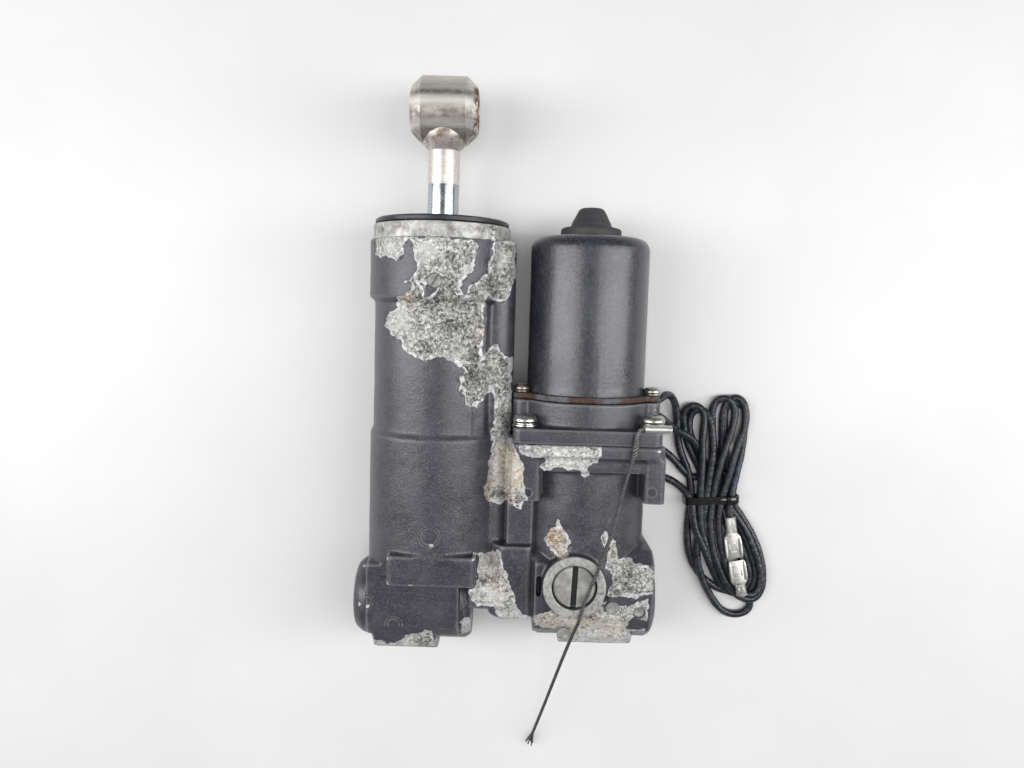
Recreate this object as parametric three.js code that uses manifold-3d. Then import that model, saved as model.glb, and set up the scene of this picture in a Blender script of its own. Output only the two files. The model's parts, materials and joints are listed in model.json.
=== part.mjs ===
// Electro-hydraulic tilt actuator: a hydraulic cylinder with its motor-driven gear pump alongside, both
// in one aluminium casting, lying on its back with its two motor leads tied up beside it.
// Millimetres. +Z up from the table, +Y along the cylinder towards the rod eye, +X towards the motor.
// The origin is on the table, under the middle of the unit's length and width.
import * as THREE from 'three';
import { mergeVertices } from 'three/addons/utils/BufferGeometryUtils.js';
import Module from 'manifold-3d';

const wasm = await Module();
wasm.setup();

// ---- Driving dimensions ------------------------------------------------------------------------
const GAP = 0.3;                          // left between solids that touch
const AXIS_Z = 38;                        // height of the cylinder and motor axes
const CYLINDER = { x: -38.7, z: AXIS_Z };
const MOTOR = { x: 40.8, z: AXIS_Z };
const PIVOT = { y: -123, z: AXIS_Z };     // axis of the lower mounting bores, along X
const EYE = { y: 137.8, z: AXIS_Z };      // axis of the rod eye, along X

const BORE_R = 26;                        // cylinder bore
const BORE_BOTTOM = -98;
const BAND_TOP = 76.7;                    // machined end of the cylinder casting
const BAND_BOTTOM = 68.8;
const BAND_R = 36.5;
const UPPER_BOSS_R = 37.8;
const UPPER_BOSS_BOTTOM = 39;
const BARREL_R = 35;
const LOWER_BARREL_R = 36.5;
const LOWER_STEP = -31;

const ROD_R = 8.3;
const ROD_JOIN = 99.4;                    // where the rod meets the neck of the eye
const EYE_R = 17.5;
const EYE_HALF_WIDTH = 17.6;
const PISTON_TOP = -56;
const FREE_PISTON_TOP = -85.5;

const COLUMN = { x: -8.8, z: 49 };        // rounded oil gallery between the two halves
const COLUMN_R = 10.2;
const COLUMN_TOP = 69.8;
const COLUMN_BOTTOM = -116;

const HOUSING_R = 33.8;                   // pump housing round the motor axis
const HOUSING_TOP = -32.9;
const FLANGE_BOTTOM = -39.4;
const FLANGE_X = [1.3, 79.8];
const FLANGE_Z = [0, 75.6];
const RESERVOIR_R = 29;
const RESERVOIR_BOTTOM = -89;

const LEFT_END = -81.3;                   // outer faces of the two lower mounting bosses
const RIGHT_END = 81.3;
const BUSH_R = 11.3;
const BUSH_LENGTH = 19;
const PIVOT_BORE_R = 9;

const VALVE = { x: 35.6, y: -105.9 };     // axis of the manual release valve, along Z
const VALVE_BOSS_R = 16.2;
const VALVE_SCREW_R = 10.95;
const VALVE_FACE = 76;
const VALVE_SCREW_FACE = 74.6;

const CAN_R = 31.65;                      // motor can
const CAN_WALL = 2.2;
const CAN_BASE = -11.9;
const CAN_FLANGE_TOP = -8.9;
const CAN_TOP = 75.1;
const CAN_SHOULDER_R = 6.5;
const BASE_TOP = -12.2;                   // motor base, between the can and the housing
const PLATE_TOP = -25;
const PLATE_BOTTOM = -32.6;

const TERMINAL_THICKNESS = 1;             // ring of the earth terminal, under one corner screw
const CORNER_SCREWS = [                   // M6, through the motor base into the housing
  { name: 'base_screw_front_left', x: 8, z: 66, holeEnd: -54, packing: 0 },
  { name: 'base_screw_front_right', x: 73.6, z: 66, holeEnd: -54, packing: TERMINAL_THICKNESS + GAP },
  { name: 'base_screw_back_left', x: 8, z: 10, holeEnd: -45, packing: 0 },
  { name: 'base_screw_back_right', x: 73.6, z: 10, holeEnd: -45, packing: 0 },
];
const CAN_SCREWS = [                      // M4, through the can's flange into the motor base
  { name: 'can_screw_left', x: 6.2, z: 48 },
  { name: 'can_screw_right', x: 75.4, z: 48 },
];
const BLEED = { x: -38.9, y: 47.3 };      // axis of the cylinder's slotted bleed plug, along Z
const GALLERY_PLUGS = [                   // plugs pressed into drilled oil galleries
  { name: 'gallery_plug_upper', x: 56.1, y: -118.4, r: 3.5, face: 69.5 },
  { name: 'gallery_plug_right', x: 70.6, y: -121.1, r: 3, face: 66 },
  { name: 'gallery_plug_lower', x: 31.8, y: -134.6, r: 3.2, face: 65 },
];

const GEAR_TEETH = 10;
const GEAR_PITCH_R = 6;
const GEAR_BOTTOM = -80;
const GEAR_TOP = -72;

const LEAD_R = 2.2;                       // sleeved motor lead
const ROPE_R = 0.95;                      // stranded earth wire

// ---- Materials ---------------------------------------------------------------------------------
const finish = (color, roughness, metalness) => ({ color, roughness, metalness });
const FINISHES = {
  dark_paint: finish(0x505056, 0.5, 0.1),
  can_paint: finish(0x3e4046, 0.4, 0.15),
  bare_aluminium: finish(0xb9b7b0, 0.45, 0.9),
  machined_steel: finish(0xa8a29a, 0.3, 0.95),
  chrome: finish(0xd5dade, 0.08, 1),
  zinc_steel: finish(0xc4bfb2, 0.28, 0.95),
  dark_steel: finish(0x4b4b4d, 0.45, 0.8),
  black_rubber: finish(0x202122, 0.8, 0),
  bronze: finish(0x9a7440, 0.4, 0.9),
  copper: finish(0xa4562c, 0.35, 0.9),
  ferrite: finish(0x2c2b2d, 0.7, 0.1),
  carbon: finish(0x26262a, 0.6, 0.2),
  moulded_plastic: finish(0x2d2a27, 0.55, 0),
  lead_sleeve: finish(0x1e1f21, 0.5, 0),
  wire_rope: finish(0x6d6b68, 0.4, 0.8),
};

// ---- Solids ------------------------------------------------------------------------------------
// A closed three.js geometry as a manifold solid, without the slivers that collapse on a lathe's axis.
function solid(geometry) {
  const bare = geometry.clone();
  bare.deleteAttribute('normal');
  bare.deleteAttribute('uv');
  const merged = mergeVertices(bare, 1e-4);
  const corners = merged.index.array;
  const kept = [];
  for (let i = 0; i < corners.length; i += 3) {
    const [a, b, c] = [corners[i], corners[i + 1], corners[i + 2]];
    if (a !== b && b !== c && c !== a) kept.push(a, b, c);
  }
  return new wasm.Manifold(new wasm.Mesh({
    numProp: 3,
    vertProperties: new Float32Array(merged.getAttribute('position').array),
    triVerts: new Uint32Array(kept),
  }));
}

function geometryOf(body) {
  const mesh = body.getMesh();
  const geometry = new THREE.BufferGeometry();
  geometry.setAttribute('position', new THREE.BufferAttribute(new Float32Array(mesh.vertProperties), 3));
  geometry.setIndex(new THREE.BufferAttribute(new Uint32Array(mesh.triVerts), 1));
  geometry.computeVertexNormals();
  return geometry;
}

const join = (first, ...others) => others.reduce((whole, other) => whole.add(other), first);
const cut = (first, ...others) => others.reduce((whole, other) => whole.subtract(other), first);

// Stands a shape made about +Y on the axis named, through the centre's two other coordinates.
function placed(geometry, axis, centre) {
  if (axis === 'x') geometry.rotateZ(-Math.PI / 2);
  if (axis === 'z') geometry.rotateX(Math.PI / 2);
  geometry.translate(centre.x ?? 0, centre.y ?? 0, centre.z ?? 0);
  return geometry;
}

// A profile of [radius, place along the axis] points turned about an axis. Its outer side runs upwards.
function turned(axis, centre, profile, segments = 32) {
  const points = profile.map(([radius, along]) => new THREE.Vector2(radius, along));
  return solid(placed(new THREE.LatheGeometry(points, segments), axis, centre));
}

function rod(axis, centre, radius, from, to, segments) {
  return turned(axis, centre, [[0, from], [radius, from], [radius, to], [0, to]], segments);
}

function ring(axis, centre, inner, outer, from, to, segments) {
  const profile = [[inner, from], [outer, from], [outer, to], [inner, to], [inner, from]];
  return turned(axis, centre, profile, segments);
}

function block([x0, x1], [y0, y1], [z0, z1]) {
  const geometry = new THREE.BoxGeometry(x1 - x0, y1 - y0, z1 - z0);
  geometry.translate((x0 + x1) / 2, (y0 + y1) / 2, (z0 + z1) / 2);
  return solid(geometry);
}

// A closed outline of [u, v] points extruded along an axis: (y, z) along x, (x, z) along y, (x, y) along z.
function prism(axis, outline, from, to) {
  const shape = new THREE.Shape(outline.map(([u, v]) => new THREE.Vector2(u, v)));
  const geometry = new THREE.ExtrudeGeometry(shape, { depth: to - from, bevelEnabled: false });
  const [X, Y, Z] = [[1, 0, 0], [0, 1, 0], [0, 0, 1]].map((v) => new THREE.Vector3(...v));
  const turn = new THREE.Matrix4();
  if (axis === 'x') turn.makeBasis(Y, Z, X).setPosition(from, 0, 0);
  if (axis === 'y') turn.makeBasis(X, Z, Y.clone().negate()).setPosition(0, to, 0);
  if (axis === 'z') turn.makeBasis(X, Y, Z).setPosition(0, 0, from);
  return solid(geometry.applyMatrix4(turn));
}

function arcPoints(centreU, centreV, radius, fromDegrees, toDegrees, steps) {
  return Array.from({ length: steps + 1 }, (_, i) => {
    const angle = THREE.MathUtils.degToRad(fromDegrees + ((toDegrees - fromDegrees) * i) / steps);
    return [centreU + radius * Math.cos(angle), centreV + radius * Math.sin(angle)];
  });
}

function roundedRectangle([u0, u1], [v0, v1], radius, steps = 4) {
  return [
    ...arcPoints(u1 - radius, v0 + radius, radius, -90, 0, steps),
    ...arcPoints(u1 - radius, v1 - radius, radius, 0, 90, steps),
    ...arcPoints(u0 + radius, v1 - radius, radius, 90, 180, steps),
    ...arcPoints(u0 + radius, v0 + radius, radius, 180, 270, steps),
  ];
}

// A round section swept along a smooth open curve through the points.
function sweptTube(points, radius, sides, steps) {
  const path = new THREE.CatmullRomCurve3(points.map((p) => new THREE.Vector3(...p)), false, 'centripetal');
  const section = new THREE.Shape(
    Array.from({ length: sides }, (_, i) => {
      const angle = (2 * Math.PI * i) / sides;
      return new THREE.Vector2(radius * Math.cos(angle), radius * Math.sin(angle));
    }),
  );
  return solid(new THREE.ExtrudeGeometry(section, { steps, extrudePath: path, bevelEnabled: false }));
}

const part = new THREE.Group();

function add(name, body, finishName) {
  const mesh = new THREE.Mesh(geometryOf(body), new THREE.MeshStandardMaterial(FINISHES[finishName]));
  mesh.name = name;
  part.add(mesh);
}

// ---- Main casting ------------------------------------------------------------------------------
// The two front screws go on below the flange into lugs, one at each corner.
const LUG_BOTTOM = -62;
const LUG_Z = [55, 75];

function cylinderHalf() {
  const barrel = turned('y', CYLINDER, [
    [0, -118], [LOWER_BARREL_R, -118], [LOWER_BARREL_R, LOWER_STEP - 2], [BARREL_R, LOWER_STEP + 1],
    [BARREL_R, UPPER_BOSS_BOTTOM - 2], [UPPER_BOSS_R, UPPER_BOSS_BOTTOM], [UPPER_BOSS_R, BAND_BOTTOM],
    [BAND_R, BAND_BOTTOM], [BAND_R, BAND_TOP], [0, BAND_TOP],
  ], 40);
  const gallery = rod('y', COLUMN, COLUMN_R, COLUMN_BOTTOM, COLUMN_TOP, 20);
  const web = block([-22, 1.2], [COLUMN_BOTTOM, COLUMN_TOP], [18, 49]);
  const keyRib = block([-13.8, -9.4], [60, BAND_TOP - 0.4], [50, 64.2]);
  const frontPad = prism('y', roundedRectangle([-60.8, -15.3], [40, 74.8], 1.5, 2), -108.2, -92.5);
  return join(barrel, gallery, web, keyRib, frontPad);
}

function leftFoot() {
  const boss = turned('x', { y: -125, z: AXIS_Z }, [
    [0, LEFT_END], [16.5, LEFT_END], [20.3, LEFT_END + 1.6], [22.2, LEFT_END + 5],
    [22.2, -21], [20, -17.5], [0, -17.5],
  ], 28);
  const body = prism('x', [[-141, 56], [-134, 61.5], [-100, 64], [-100, 12], [-134, 15], [-141, 20]], -73, -24);
  const heel = prism('x', [
    [-136, 60], [-147.2, 56], [-151.9, 46], [-155.3, 38], [-155.3, 24], [-150, 16], [-136, 14],
  ], -69.9, -36.1);
  const backPad = block([-64, -30], [-142, -96], [0, 20]);
  return join(boss, body, heel, backPad);
}

function pumpHalf() {
  const housing = rod('y', MOTOR, HOUSING_R, -112, HOUSING_TOP, 40);
  const flange = prism('y', roundedRectangle(FLANGE_X, FLANGE_Z, 6), FLANGE_BOTTOM, HOUSING_TOP);
  const underFlange = prism('y', roundedRectangle([5.5, 75.6], [6, 72.8], 9), -46.8, FLANGE_BOTTOM);
  const lugs = [[FLANGE_X[0], 16.6], [69, FLANGE_X[1]]].map((width) => (
    prism('y', roundedRectangle(width, LUG_Z, 2.5, 3), LUG_BOTTOM, FLANGE_BOTTOM)));
  const leftWall = block([0, 14], [-116, FLANGE_BOTTOM], [18, 63]);
  const lobe = rod('y', { x: 2.6, z: 55.5 }, 11.2, -126.9, -88, 20);
  const lobeFace = prism('y', roundedRectangle([-4, 13.7], [40, 67], 3, 3), -126.4, -88);
  return join(housing, flange, underFlange, ...lugs, leftWall, lobe, lobeFace);
}

function valveBlock() {
  const boss = turned('x', { y: -121, z: AXIS_Z }, [
    [0, 16.2], [20.5, 16.2], [22.4, 18.5], [22.4, RIGHT_END - 4.5], [20, RIGHT_END - 1.4], [16, RIGHT_END], [0, RIGHT_END],
  ], 28);
  const body = prism('x', [
    [-133, 62], [-124, 67.5], [-96, 68.5], [-90, 60], [-90, 16], [-112, 12], [-133, 15], [-138, 22], [-138, 54],
  ], 15.4, 77.5);
  const heel = prism('x', [
    [-130, 63], [-138, 60], [-142.4, 56], [-146.6, 46], [-150, 38], [-150, 24], [-145, 16], [-130, 14],
  ], 30.5, 68.4);
  const backPad = block([24, 70], [-138, -96], [0, 20]);
  const valveBoss = turned('z', VALVE, [
    [0, 50], [VALVE_BOSS_R, 50], [VALVE_BOSS_R, VALVE_FACE - 0.8], [VALVE_BOSS_R - 0.8, VALVE_FACE], [0, VALVE_FACE],
  ], 32);
  return join(body, boss, heel, backPad, valveBoss);
}

function castingBores() {
  const cylinderBore = rod('y', CYLINDER, BORE_R, BORE_BOTTOM, BAND_TOP + 5, 40);
  const glandSeat = rod('y', CYLINDER, 28.6, 59.6, BAND_TOP + 5, 40);
  const reservoir = rod('y', MOTOR, RESERVOIR_R, RESERVOIR_BOTTOM, HOUSING_TOP + 5, 32);
  const pivotBore = rod('x', PIVOT, PIVOT_BORE_R, LEFT_END - 5, RIGHT_END + 5, 24);
  const leftSeat = rod('x', PIVOT, BUSH_R + GAP, LEFT_END - 5, LEFT_END + BUSH_LENGTH, 24);
  const rightSeat = rod('x', PIVOT, BUSH_R + GAP, RIGHT_END - BUSH_LENGTH, RIGHT_END + 5, 24);
  const plugHole = rod('z', BLEED, 4.7, 68.4, 90, 16);
  const valveHole = rod('z', VALVE, VALVE_SCREW_R + 0.45, 64.5, 90, 24);
  const valveStemHole = rod('z', VALVE, 5.6, 50, 70, 16);
  const galleryHoles = GALLERY_PLUGS.map((p) => rod('z', p, p.r + GAP, p.face - 4.5, 90, 14));
  const screwHoles = CORNER_SCREWS.map((s) => rod('y', s, 3.3, s.holeEnd, HOUSING_TOP + 5, 12));
  // Oil galleries: pump to the column, column to the cylinder's two ends, and up to the release valve.
  const gallery = rod('y', { x: -7, z: 32 }, 2.5, -94, 64, 8);
  const upperPort = rod('x', { y: 52, z: 32 }, 2.2, -20, -5, 8);
  const lowerPort = rod('x', { y: -91, z: 32 }, 2.2, -20, 20, 8);
  return [cylinderBore, glandSeat, reservoir, pivotBore, leftSeat, rightSeat, plugHole, valveHole,
    valveStemHole, ...galleryHoles, ...screwHoles, gallery, upperPort, lowerPort];
}

add('main_casting', cut(join(cylinderHalf(), leftFoot(), pumpHalf(), valveBlock()), ...castingBores()), 'dark_paint');

const bushProfile = [[8.2, 0], [BUSH_R, 0], [BUSH_R, BUSH_LENGTH - GAP], [8.2, BUSH_LENGTH - GAP], [8.2, 0]];
const shifted = (profile, by) => profile.map(([r, along]) => [r, along + by]);
add('pivot_bush_left', turned('x', PIVOT, shifted(bushProfile, LEFT_END), 24), 'moulded_plastic');
add('pivot_bush_right', turned('x', PIVOT, shifted(bushProfile, RIGHT_END - BUSH_LENGTH + GAP), 24), 'moulded_plastic');

// ---- Cylinder ----------------------------------------------------------------------------------
const CAP_R = 35.55;
const CAP_TOP = 80.5;
add('end_cap', turned('y', CYLINDER, [
  [8.9, 69.4], [13.4, 69.4], [13.4, 60], [28.2, 60], [28.2, 69.5], [26.2, 69.5], [26.2, 72.5], [28.2, 72.5],
  [28.2, BAND_TOP + GAP], [CAP_R - 0.6, BAND_TOP + GAP], [CAP_R, BAND_TOP + 0.9], [CAP_R, CAP_TOP - 0.8],
  [CAP_R - 0.8, CAP_TOP], [12.4, CAP_TOP], [12.4, 77], [8.9, 77], [8.9, 69.4],
], 32), 'dark_steel');
add('gland_o_ring', ring('y', CYLINDER, 26.6, 28.3, 69.8, 72.2, 24), 'black_rubber');
add('rod_wiper', turned('y', CYLINDER, [
  [8.6, 77.3], [12, 77.3], [12, 80.2], [9, 80.9], [8.6, 77.3],
], 24), 'black_rubber');
add('rod_seal', ring('y', CYLINDER, 8.6, 13, 62, 69.1, 24), 'black_rubber');

add('piston_rod', turned('y', CYLINDER, [
  [0, FREE_PISTON_TOP + 1.5], [6, FREE_PISTON_TOP + 1.5], [6, PISTON_TOP], [ROD_R, PISTON_TOP],
  [ROD_R, ROD_JOIN - GAP / 2], [0, ROD_JOIN - GAP / 2],
], 24), 'chrome');

function rodEye() {
  const barrel = turned('x', { ...EYE, x: CYLINDER.x }, [
    [0, -EYE_HALF_WIDTH], [11.9, -EYE_HALF_WIDTH], [14.6, -15.6], [EYE_R, -11.2],
    [EYE_R, 11.2], [14.6, 15.6], [11.9, EYE_HALF_WIDTH], [0, EYE_HALF_WIDTH],
  ], 32);
  const neck = turned('y', CYLINDER, [
    [0, ROD_JOIN + GAP / 2], [ROD_R, ROD_JOIN + GAP / 2], [ROD_R, 117.6], [12.4, 123.6], [12.4, 130], [0, 130],
  ], 24);
  const bore = rod('x', EYE, 10.3, -70, 0, 24);
  return cut(join(barrel, neck), bore);
}
add('rod_eye', rodEye(), 'machined_steel');
const bushEnds = [CYLINDER.x - EYE_HALF_WIDTH + 0.4, CYLINDER.x + EYE_HALF_WIDTH - 0.4];
add('rod_eye_bush', ring('x', EYE, 8.2, 10, ...bushEnds, 24), 'bronze');

add('piston', turned('y', CYLINDER, [
  [6.3, -72.4], [25.7, -72.4], [25.7, -67.4], [22.7, -67.4], [22.7, -61.6], [25.7, -61.6],
  [25.7, PISTON_TOP - GAP], [6.3, PISTON_TOP - GAP], [6.3, -72.4],
], 24), 'machined_steel');
add('piston_seal', ring('y', CYLINDER, 23, 25.8, -67.1, -61.9, 24), 'black_rubber');
add('piston_nut', cut(
  join(rod('y', CYLINDER, 10.9, -83.4, -75, 6), rod('y', CYLINDER, 15, -75.4, -72.7, 24)),
  rod('y', CYLINDER, 6.3, -90, -70, 24),
), 'zinc_steel');
add('free_piston', turned('y', CYLINDER, [
  [0, -97.4], [24.8, -97.4], [25.7, -96.4], [25.7, -93.6], [22.7, -93.6], [22.7, -89.4], [25.7, -89.4],
  [25.7, FREE_PISTON_TOP], [0, FREE_PISTON_TOP],
], 24), 'bare_aluminium');
add('free_piston_seal', ring('y', CYLINDER, 23, 25.8, -93.3, -89.7, 24), 'black_rubber');
const bleedPlug = rod('z', BLEED, 4.4, 68.8, 75.6, 16);
add('bleed_plug', cut(bleedPlug, block([BLEED.x - 0.7, BLEED.x + 0.7], [BLEED.y - 6, BLEED.y + 6], [74.2, 77])), 'bare_aluminium');

// ---- Motor -------------------------------------------------------------------------------------
// Plan of the can's flange and the motor base: a disc with an ear on each side for an M4 screw.
const EARS = [[MOTOR.x - 39.4, MOTOR.x + 38.6], [34, 56]];
function earedDisc(radius, from, to) {
  return join(rod('y', MOTOR, radius, from, to, 36), prism('y', roundedRectangle(...EARS, 5, 3), from, to));
}

const CAN_INNER_R = CAN_R - CAN_WALL;
const canShell = turned('y', MOTOR, [
  [0, CAN_BASE], [CAN_R, CAN_BASE],
  ...arcPoints(CAN_R - CAN_SHOULDER_R, CAN_TOP - CAN_SHOULDER_R, CAN_SHOULDER_R, 0, 90, 4), [0, CAN_TOP],
], 36);
const canInside = turned('y', MOTOR, [
  [0, CAN_BASE - 5], [CAN_INNER_R, CAN_BASE - 5], [CAN_INNER_R, 67], [CAN_INNER_R - 5, 72.4], [12, 72.4],
  [12, 63.5], [9.4, 63.5], [9.4, 71.8], [0, 71.8],
], 36);
add('motor_can', cut(
  join(canShell, earedDisc(35.4, CAN_BASE, CAN_FLANGE_TOP)),
  canInside,
  ...CAN_SCREWS.map((s) => rod('y', s, 2.3, -20, 0, 12)),
), 'can_paint');
add('nose_cap', turned('y', MOTOR, [
  [0, CAN_TOP + GAP], [16.2, CAN_TOP + GAP], [16.2, 77.9], [15.2, 79], [11.6, 79.4], [10.9, 80.6],
  [7.2, 87.6], [5.6, 89], [0, 89.5],
], 24), 'black_rubber');

for (const [name, from] of [['magnet_front', 20], ['magnet_back', 200]]) {
  const outline = [
    ...arcPoints(MOTOR.x, MOTOR.z, CAN_INNER_R - 0.35, from, from + 140, 12),
    ...arcPoints(MOTOR.x, MOTOR.z, 23.3, from + 140, from, 12),
  ];
  add(name, prism('y', outline, 3, 61), 'ferrite');
}

// Twelve-slot armature stack.
const SLOTS = 12;
const armatureOutline = Array.from({ length: SLOTS }, (_, i) => {
  const middle = (360 / SLOTS) * i;
  return [
    ...arcPoints(MOTOR.x, MOTOR.z, 22.4, middle - 9.5, middle + 9.5, 2),
    ...arcPoints(MOTOR.x, MOTOR.z, 14.5, middle + 10.5, middle + 19.5, 1),
  ];
}).flat();
add('armature_core', cut(prism('y', armatureOutline, 8, 56), rod('y', MOTOR, 4.4, 0, 60, 24)), 'dark_steel');
// End turns at both ends of the stack, the coils between them in its slots, and the commutator they end on.
const upperTurns = turned('y', MOTOR, [
  [9, 56.3], [19.5, 56.3], [21, 58.8], [18.5, 62.3], [11, 63.2], [9, 61.3], [9, 56.3],
], 20);
const lowerTurns = turned('y', MOTOR, [
  [4.4, -13.6], [10.8, -13.6], [10.8, -1.6], [12.5, -1.2], [18.5, 1.2], [20.5, 4], [20.5, 7.7], [4.4, 7.7], [4.4, -13.6],
], 20);
const slotCoils = Array.from({ length: SLOTS }, (_, i) => {
  const angle = (2 * Math.PI * (i + 0.5)) / SLOTS;
  return rod('y', { x: MOTOR.x + 17.4 * Math.cos(angle), z: MOTOR.z + 17.4 * Math.sin(angle) }, 1.1, 7, 57, 6);
});
add('armature_windings', join(upperTurns, lowerTurns, ...slotCoils), 'copper');
const shaftTang = block([MOTOR.x - 3.4, MOTOR.x + 3.4], [-44, -39], [AXIS_Z - 1.4, AXIS_Z + 1.4]);
add('motor_shaft', join(rod('y', MOTOR, 4, -40, 71, 16), shaftTang), 'machined_steel');
add('upper_bearing', ring('y', MOTOR, 4.2, 9.1, 64, 71, 16), 'bronze');
add('lower_bearing', ring('y', MOTOR, 4.2, 8.5, -24.6, -19.4, 16), 'machined_steel');
add('shaft_seal', ring('y', MOTOR, 4.2, 8.5, -37.4, -32, 16), 'black_rubber');

add('motor_base', cut(
  join(
    earedDisc(36, PLATE_TOP, BASE_TOP),
    prism('y', roundedRectangle([2, 77.6], [0.2, 76], 4), PLATE_BOTTOM, PLATE_TOP),
    rod('y', MOTOR, 28.4, -39, PLATE_BOTTOM, 32),
  ),
  rod('y', MOTOR, 27.6, -19.1, 0, 32),
  rod('y', MOTOR, 8.9, -24.9, 0, 16),
  rod('y', MOTOR, 5, -50, 0, 16),
  rod('y', MOTOR, 8.9, -50, -31.7, 16),
  ring('y', MOTOR, 26.2, 29, -37.4, -34.6, 32),
  ...CORNER_SCREWS.map((s) => rod('y', s, 3.3, -40, PLATE_TOP + 5, 12)),
  ...CORNER_SCREWS.map((s) => rod('y', s, 6.8, PLATE_TOP, 0, 16)),
  ...CAN_SCREWS.map((s) => rod('y', s, 2.3, -24, 0, 12)),
), 'dark_paint');
add('base_o_ring', ring('y', MOTOR, 26.7, 28.6, -37.1, -34.9, 24), 'black_rubber');

const BRUSH_Z = [AXIS_Z - 2.6, AXIS_Z + 2.6];
const BRUSH_Y = [-13, -6];
const brushGuide = (side) => cut(
  block([13, 25].map((x) => MOTOR.x + side * x).sort((a, b) => a - b), [-17, -5], [AXIS_Z - 4.2, AXIS_Z + 4.2]),
  block([10, 27].map((x) => MOTOR.x + side * x).sort((a, b) => a - b), [BRUSH_Y[0] - 0.4, BRUSH_Y[1] + 0.4],
    [BRUSH_Z[0] - 0.4, BRUSH_Z[1] + 0.4]),
);
add('brush_holder', join(
  ring('y', MOTOR, 12, 27.2, -18.8, -16.4, 24), brushGuide(-1), brushGuide(1),
), 'moulded_plastic');
for (const [name, side] of [['brush_left', -1], ['brush_right', 1]]) {
  const ends = [11.1, 20].map((x) => MOTOR.x + side * x).sort((a, b) => a - b);
  add(name, block(ends, BRUSH_Y, BRUSH_Z), 'carbon');
}

// ---- Pump, in the oil reservoir under the motor ------------------------------------------------
const IDLER = { x: MOTOR.x + 2 * GEAR_PITCH_R + 0.3, z: AXIS_Z };

function gear(centre, startDegrees) {
  const flank = [[4.6, -14], [4.6, -10.5], [GEAR_PITCH_R, -7.6], [7.1, -3.6]];
  const toothOutline = [...flank, ...flank.map(([r, degrees]) => [r, -degrees]).reverse()];
  const outline = Array.from({ length: GEAR_TEETH }, (_, tooth) => toothOutline.map(([r, degrees]) => {
    const angle = THREE.MathUtils.degToRad(startDegrees + (360 / GEAR_TEETH) * tooth + degrees);
    return [centre.x + r * Math.cos(angle), centre.z + r * Math.sin(angle)];
  })).flat();
  return prism('y', outline, GEAR_BOTTOM, GEAR_TOP);
}
const driveTang = block([MOTOR.x - 2.6, MOTOR.x + 2.6], [-58, -51.6], [AXIS_Z - 1.4, AXIS_Z + 1.4]);
add('pump_drive_gear', join(gear(MOTOR, 0), rod('y', MOTOR, 3.4, -86, -56, 16), driveTang), 'machined_steel');
add('pump_driven_gear', join(gear(IDLER, 18), rod('y', IDLER, 3, -84, -68, 16)), 'machined_steel');
add('drive_coupling', cut(
  rod('y', MOTOR, 6.6, -57, -40.3, 16),
  block([MOTOR.x - 3.8, MOTOR.x + 3.8], [-45, -30], [AXIS_Z - 1.75, AXIS_Z + 1.75]),
  block([MOTOR.x - 3.8, MOTOR.x + 3.8], [-70, -51], [AXIS_Z - 1.75, AXIS_Z + 1.75]),
  rod('y', MOTOR, 3.8, -70, -55.4, 16),
), 'zinc_steel');

const PUMP_BODY_R = 23;
const SHUTTLE = { x: MOTOR.x - 14.5, y: -79 };   // axis of the spool and the two check valves, along Z
const pumpBores = [
  rod('y', MOTOR, 7.5, GEAR_BOTTOM - GAP, -60, 20),
  rod('y', IDLER, 7.5, GEAR_BOTTOM - GAP, -60, 20),
  rod('y', MOTOR, 3.7, -86.6, -60, 16),
  rod('y', IDLER, 3.3, -84.6, -60, 16),
  rod('z', SHUTTLE, 4.2, AXIS_Z - 25, AXIS_Z + 25, 16),
];
add('pump_body', cut(rod('y', MOTOR, PUMP_BODY_R, -88.6, GEAR_TOP + 0.2, 28), ...pumpBores), 'bare_aluminium');
add('pump_cover', cut(
  rod('y', MOTOR, PUMP_BODY_R, GEAR_TOP + 0.5, -65.5, 28),
  rod('y', MOTOR, 3.8, -80, -60, 16),
  rod('y', IDLER, 3.4, -80, -67.4, 16),
), 'bare_aluminium');
add('intake_filter', ring('y', MOTOR, 24, 25.4, -88.6, -66, 24), 'moulded_plastic');
add('shuttle_piston', turned('z', SHUTTLE, [
  [0, AXIS_Z - 7], [3.9, AXIS_Z - 7], [3.9, AXIS_Z - 3], [2.4, AXIS_Z - 3], [2.4, AXIS_Z + 3],
  [3.9, AXIS_Z + 3], [3.9, AXIS_Z + 7], [0, AXIS_Z + 7],
], 16), 'machined_steel');
add('check_valve_up', rod('z', SHUTTLE, 3.7, AXIS_Z + 9.4, AXIS_Z + 12.6, 14), 'machined_steel');
add('check_valve_down', rod('z', SHUTTLE, 3.7, AXIS_Z - 12.6, AXIS_Z - 9.4, 14), 'machined_steel');

// ---- Manual release valve ----------------------------------------------------------------------
add('release_valve_screw', cut(
  turned('z', VALVE, [
    [0, 52.5], [4.9, 57.5], [4.9, 63], [3.4, 63], [3.4, 66], [4.9, 66], [4.9, 69.5], [VALVE_SCREW_R, 69.5],
    [VALVE_SCREW_R, VALVE_SCREW_FACE - 0.5], [VALVE_SCREW_R - 0.5, VALVE_SCREW_FACE], [0, VALVE_SCREW_FACE],
  ], 24),
  block([VALVE.x - 1.6, VALVE.x + 1.6], [VALVE.y - 20, VALVE.y + 20], [VALVE_SCREW_FACE - 2.6, 80]),
), 'machined_steel');
add('release_valve_o_ring', ring('z', VALVE, 3.7, 5.2, 63.3, 65.7, 16), 'black_rubber');
for (const plug of GALLERY_PLUGS) {
  add(plug.name, rod('z', plug, plug.r, plug.face - 4, plug.face, 14), 'bare_aluminium');
}

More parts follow.
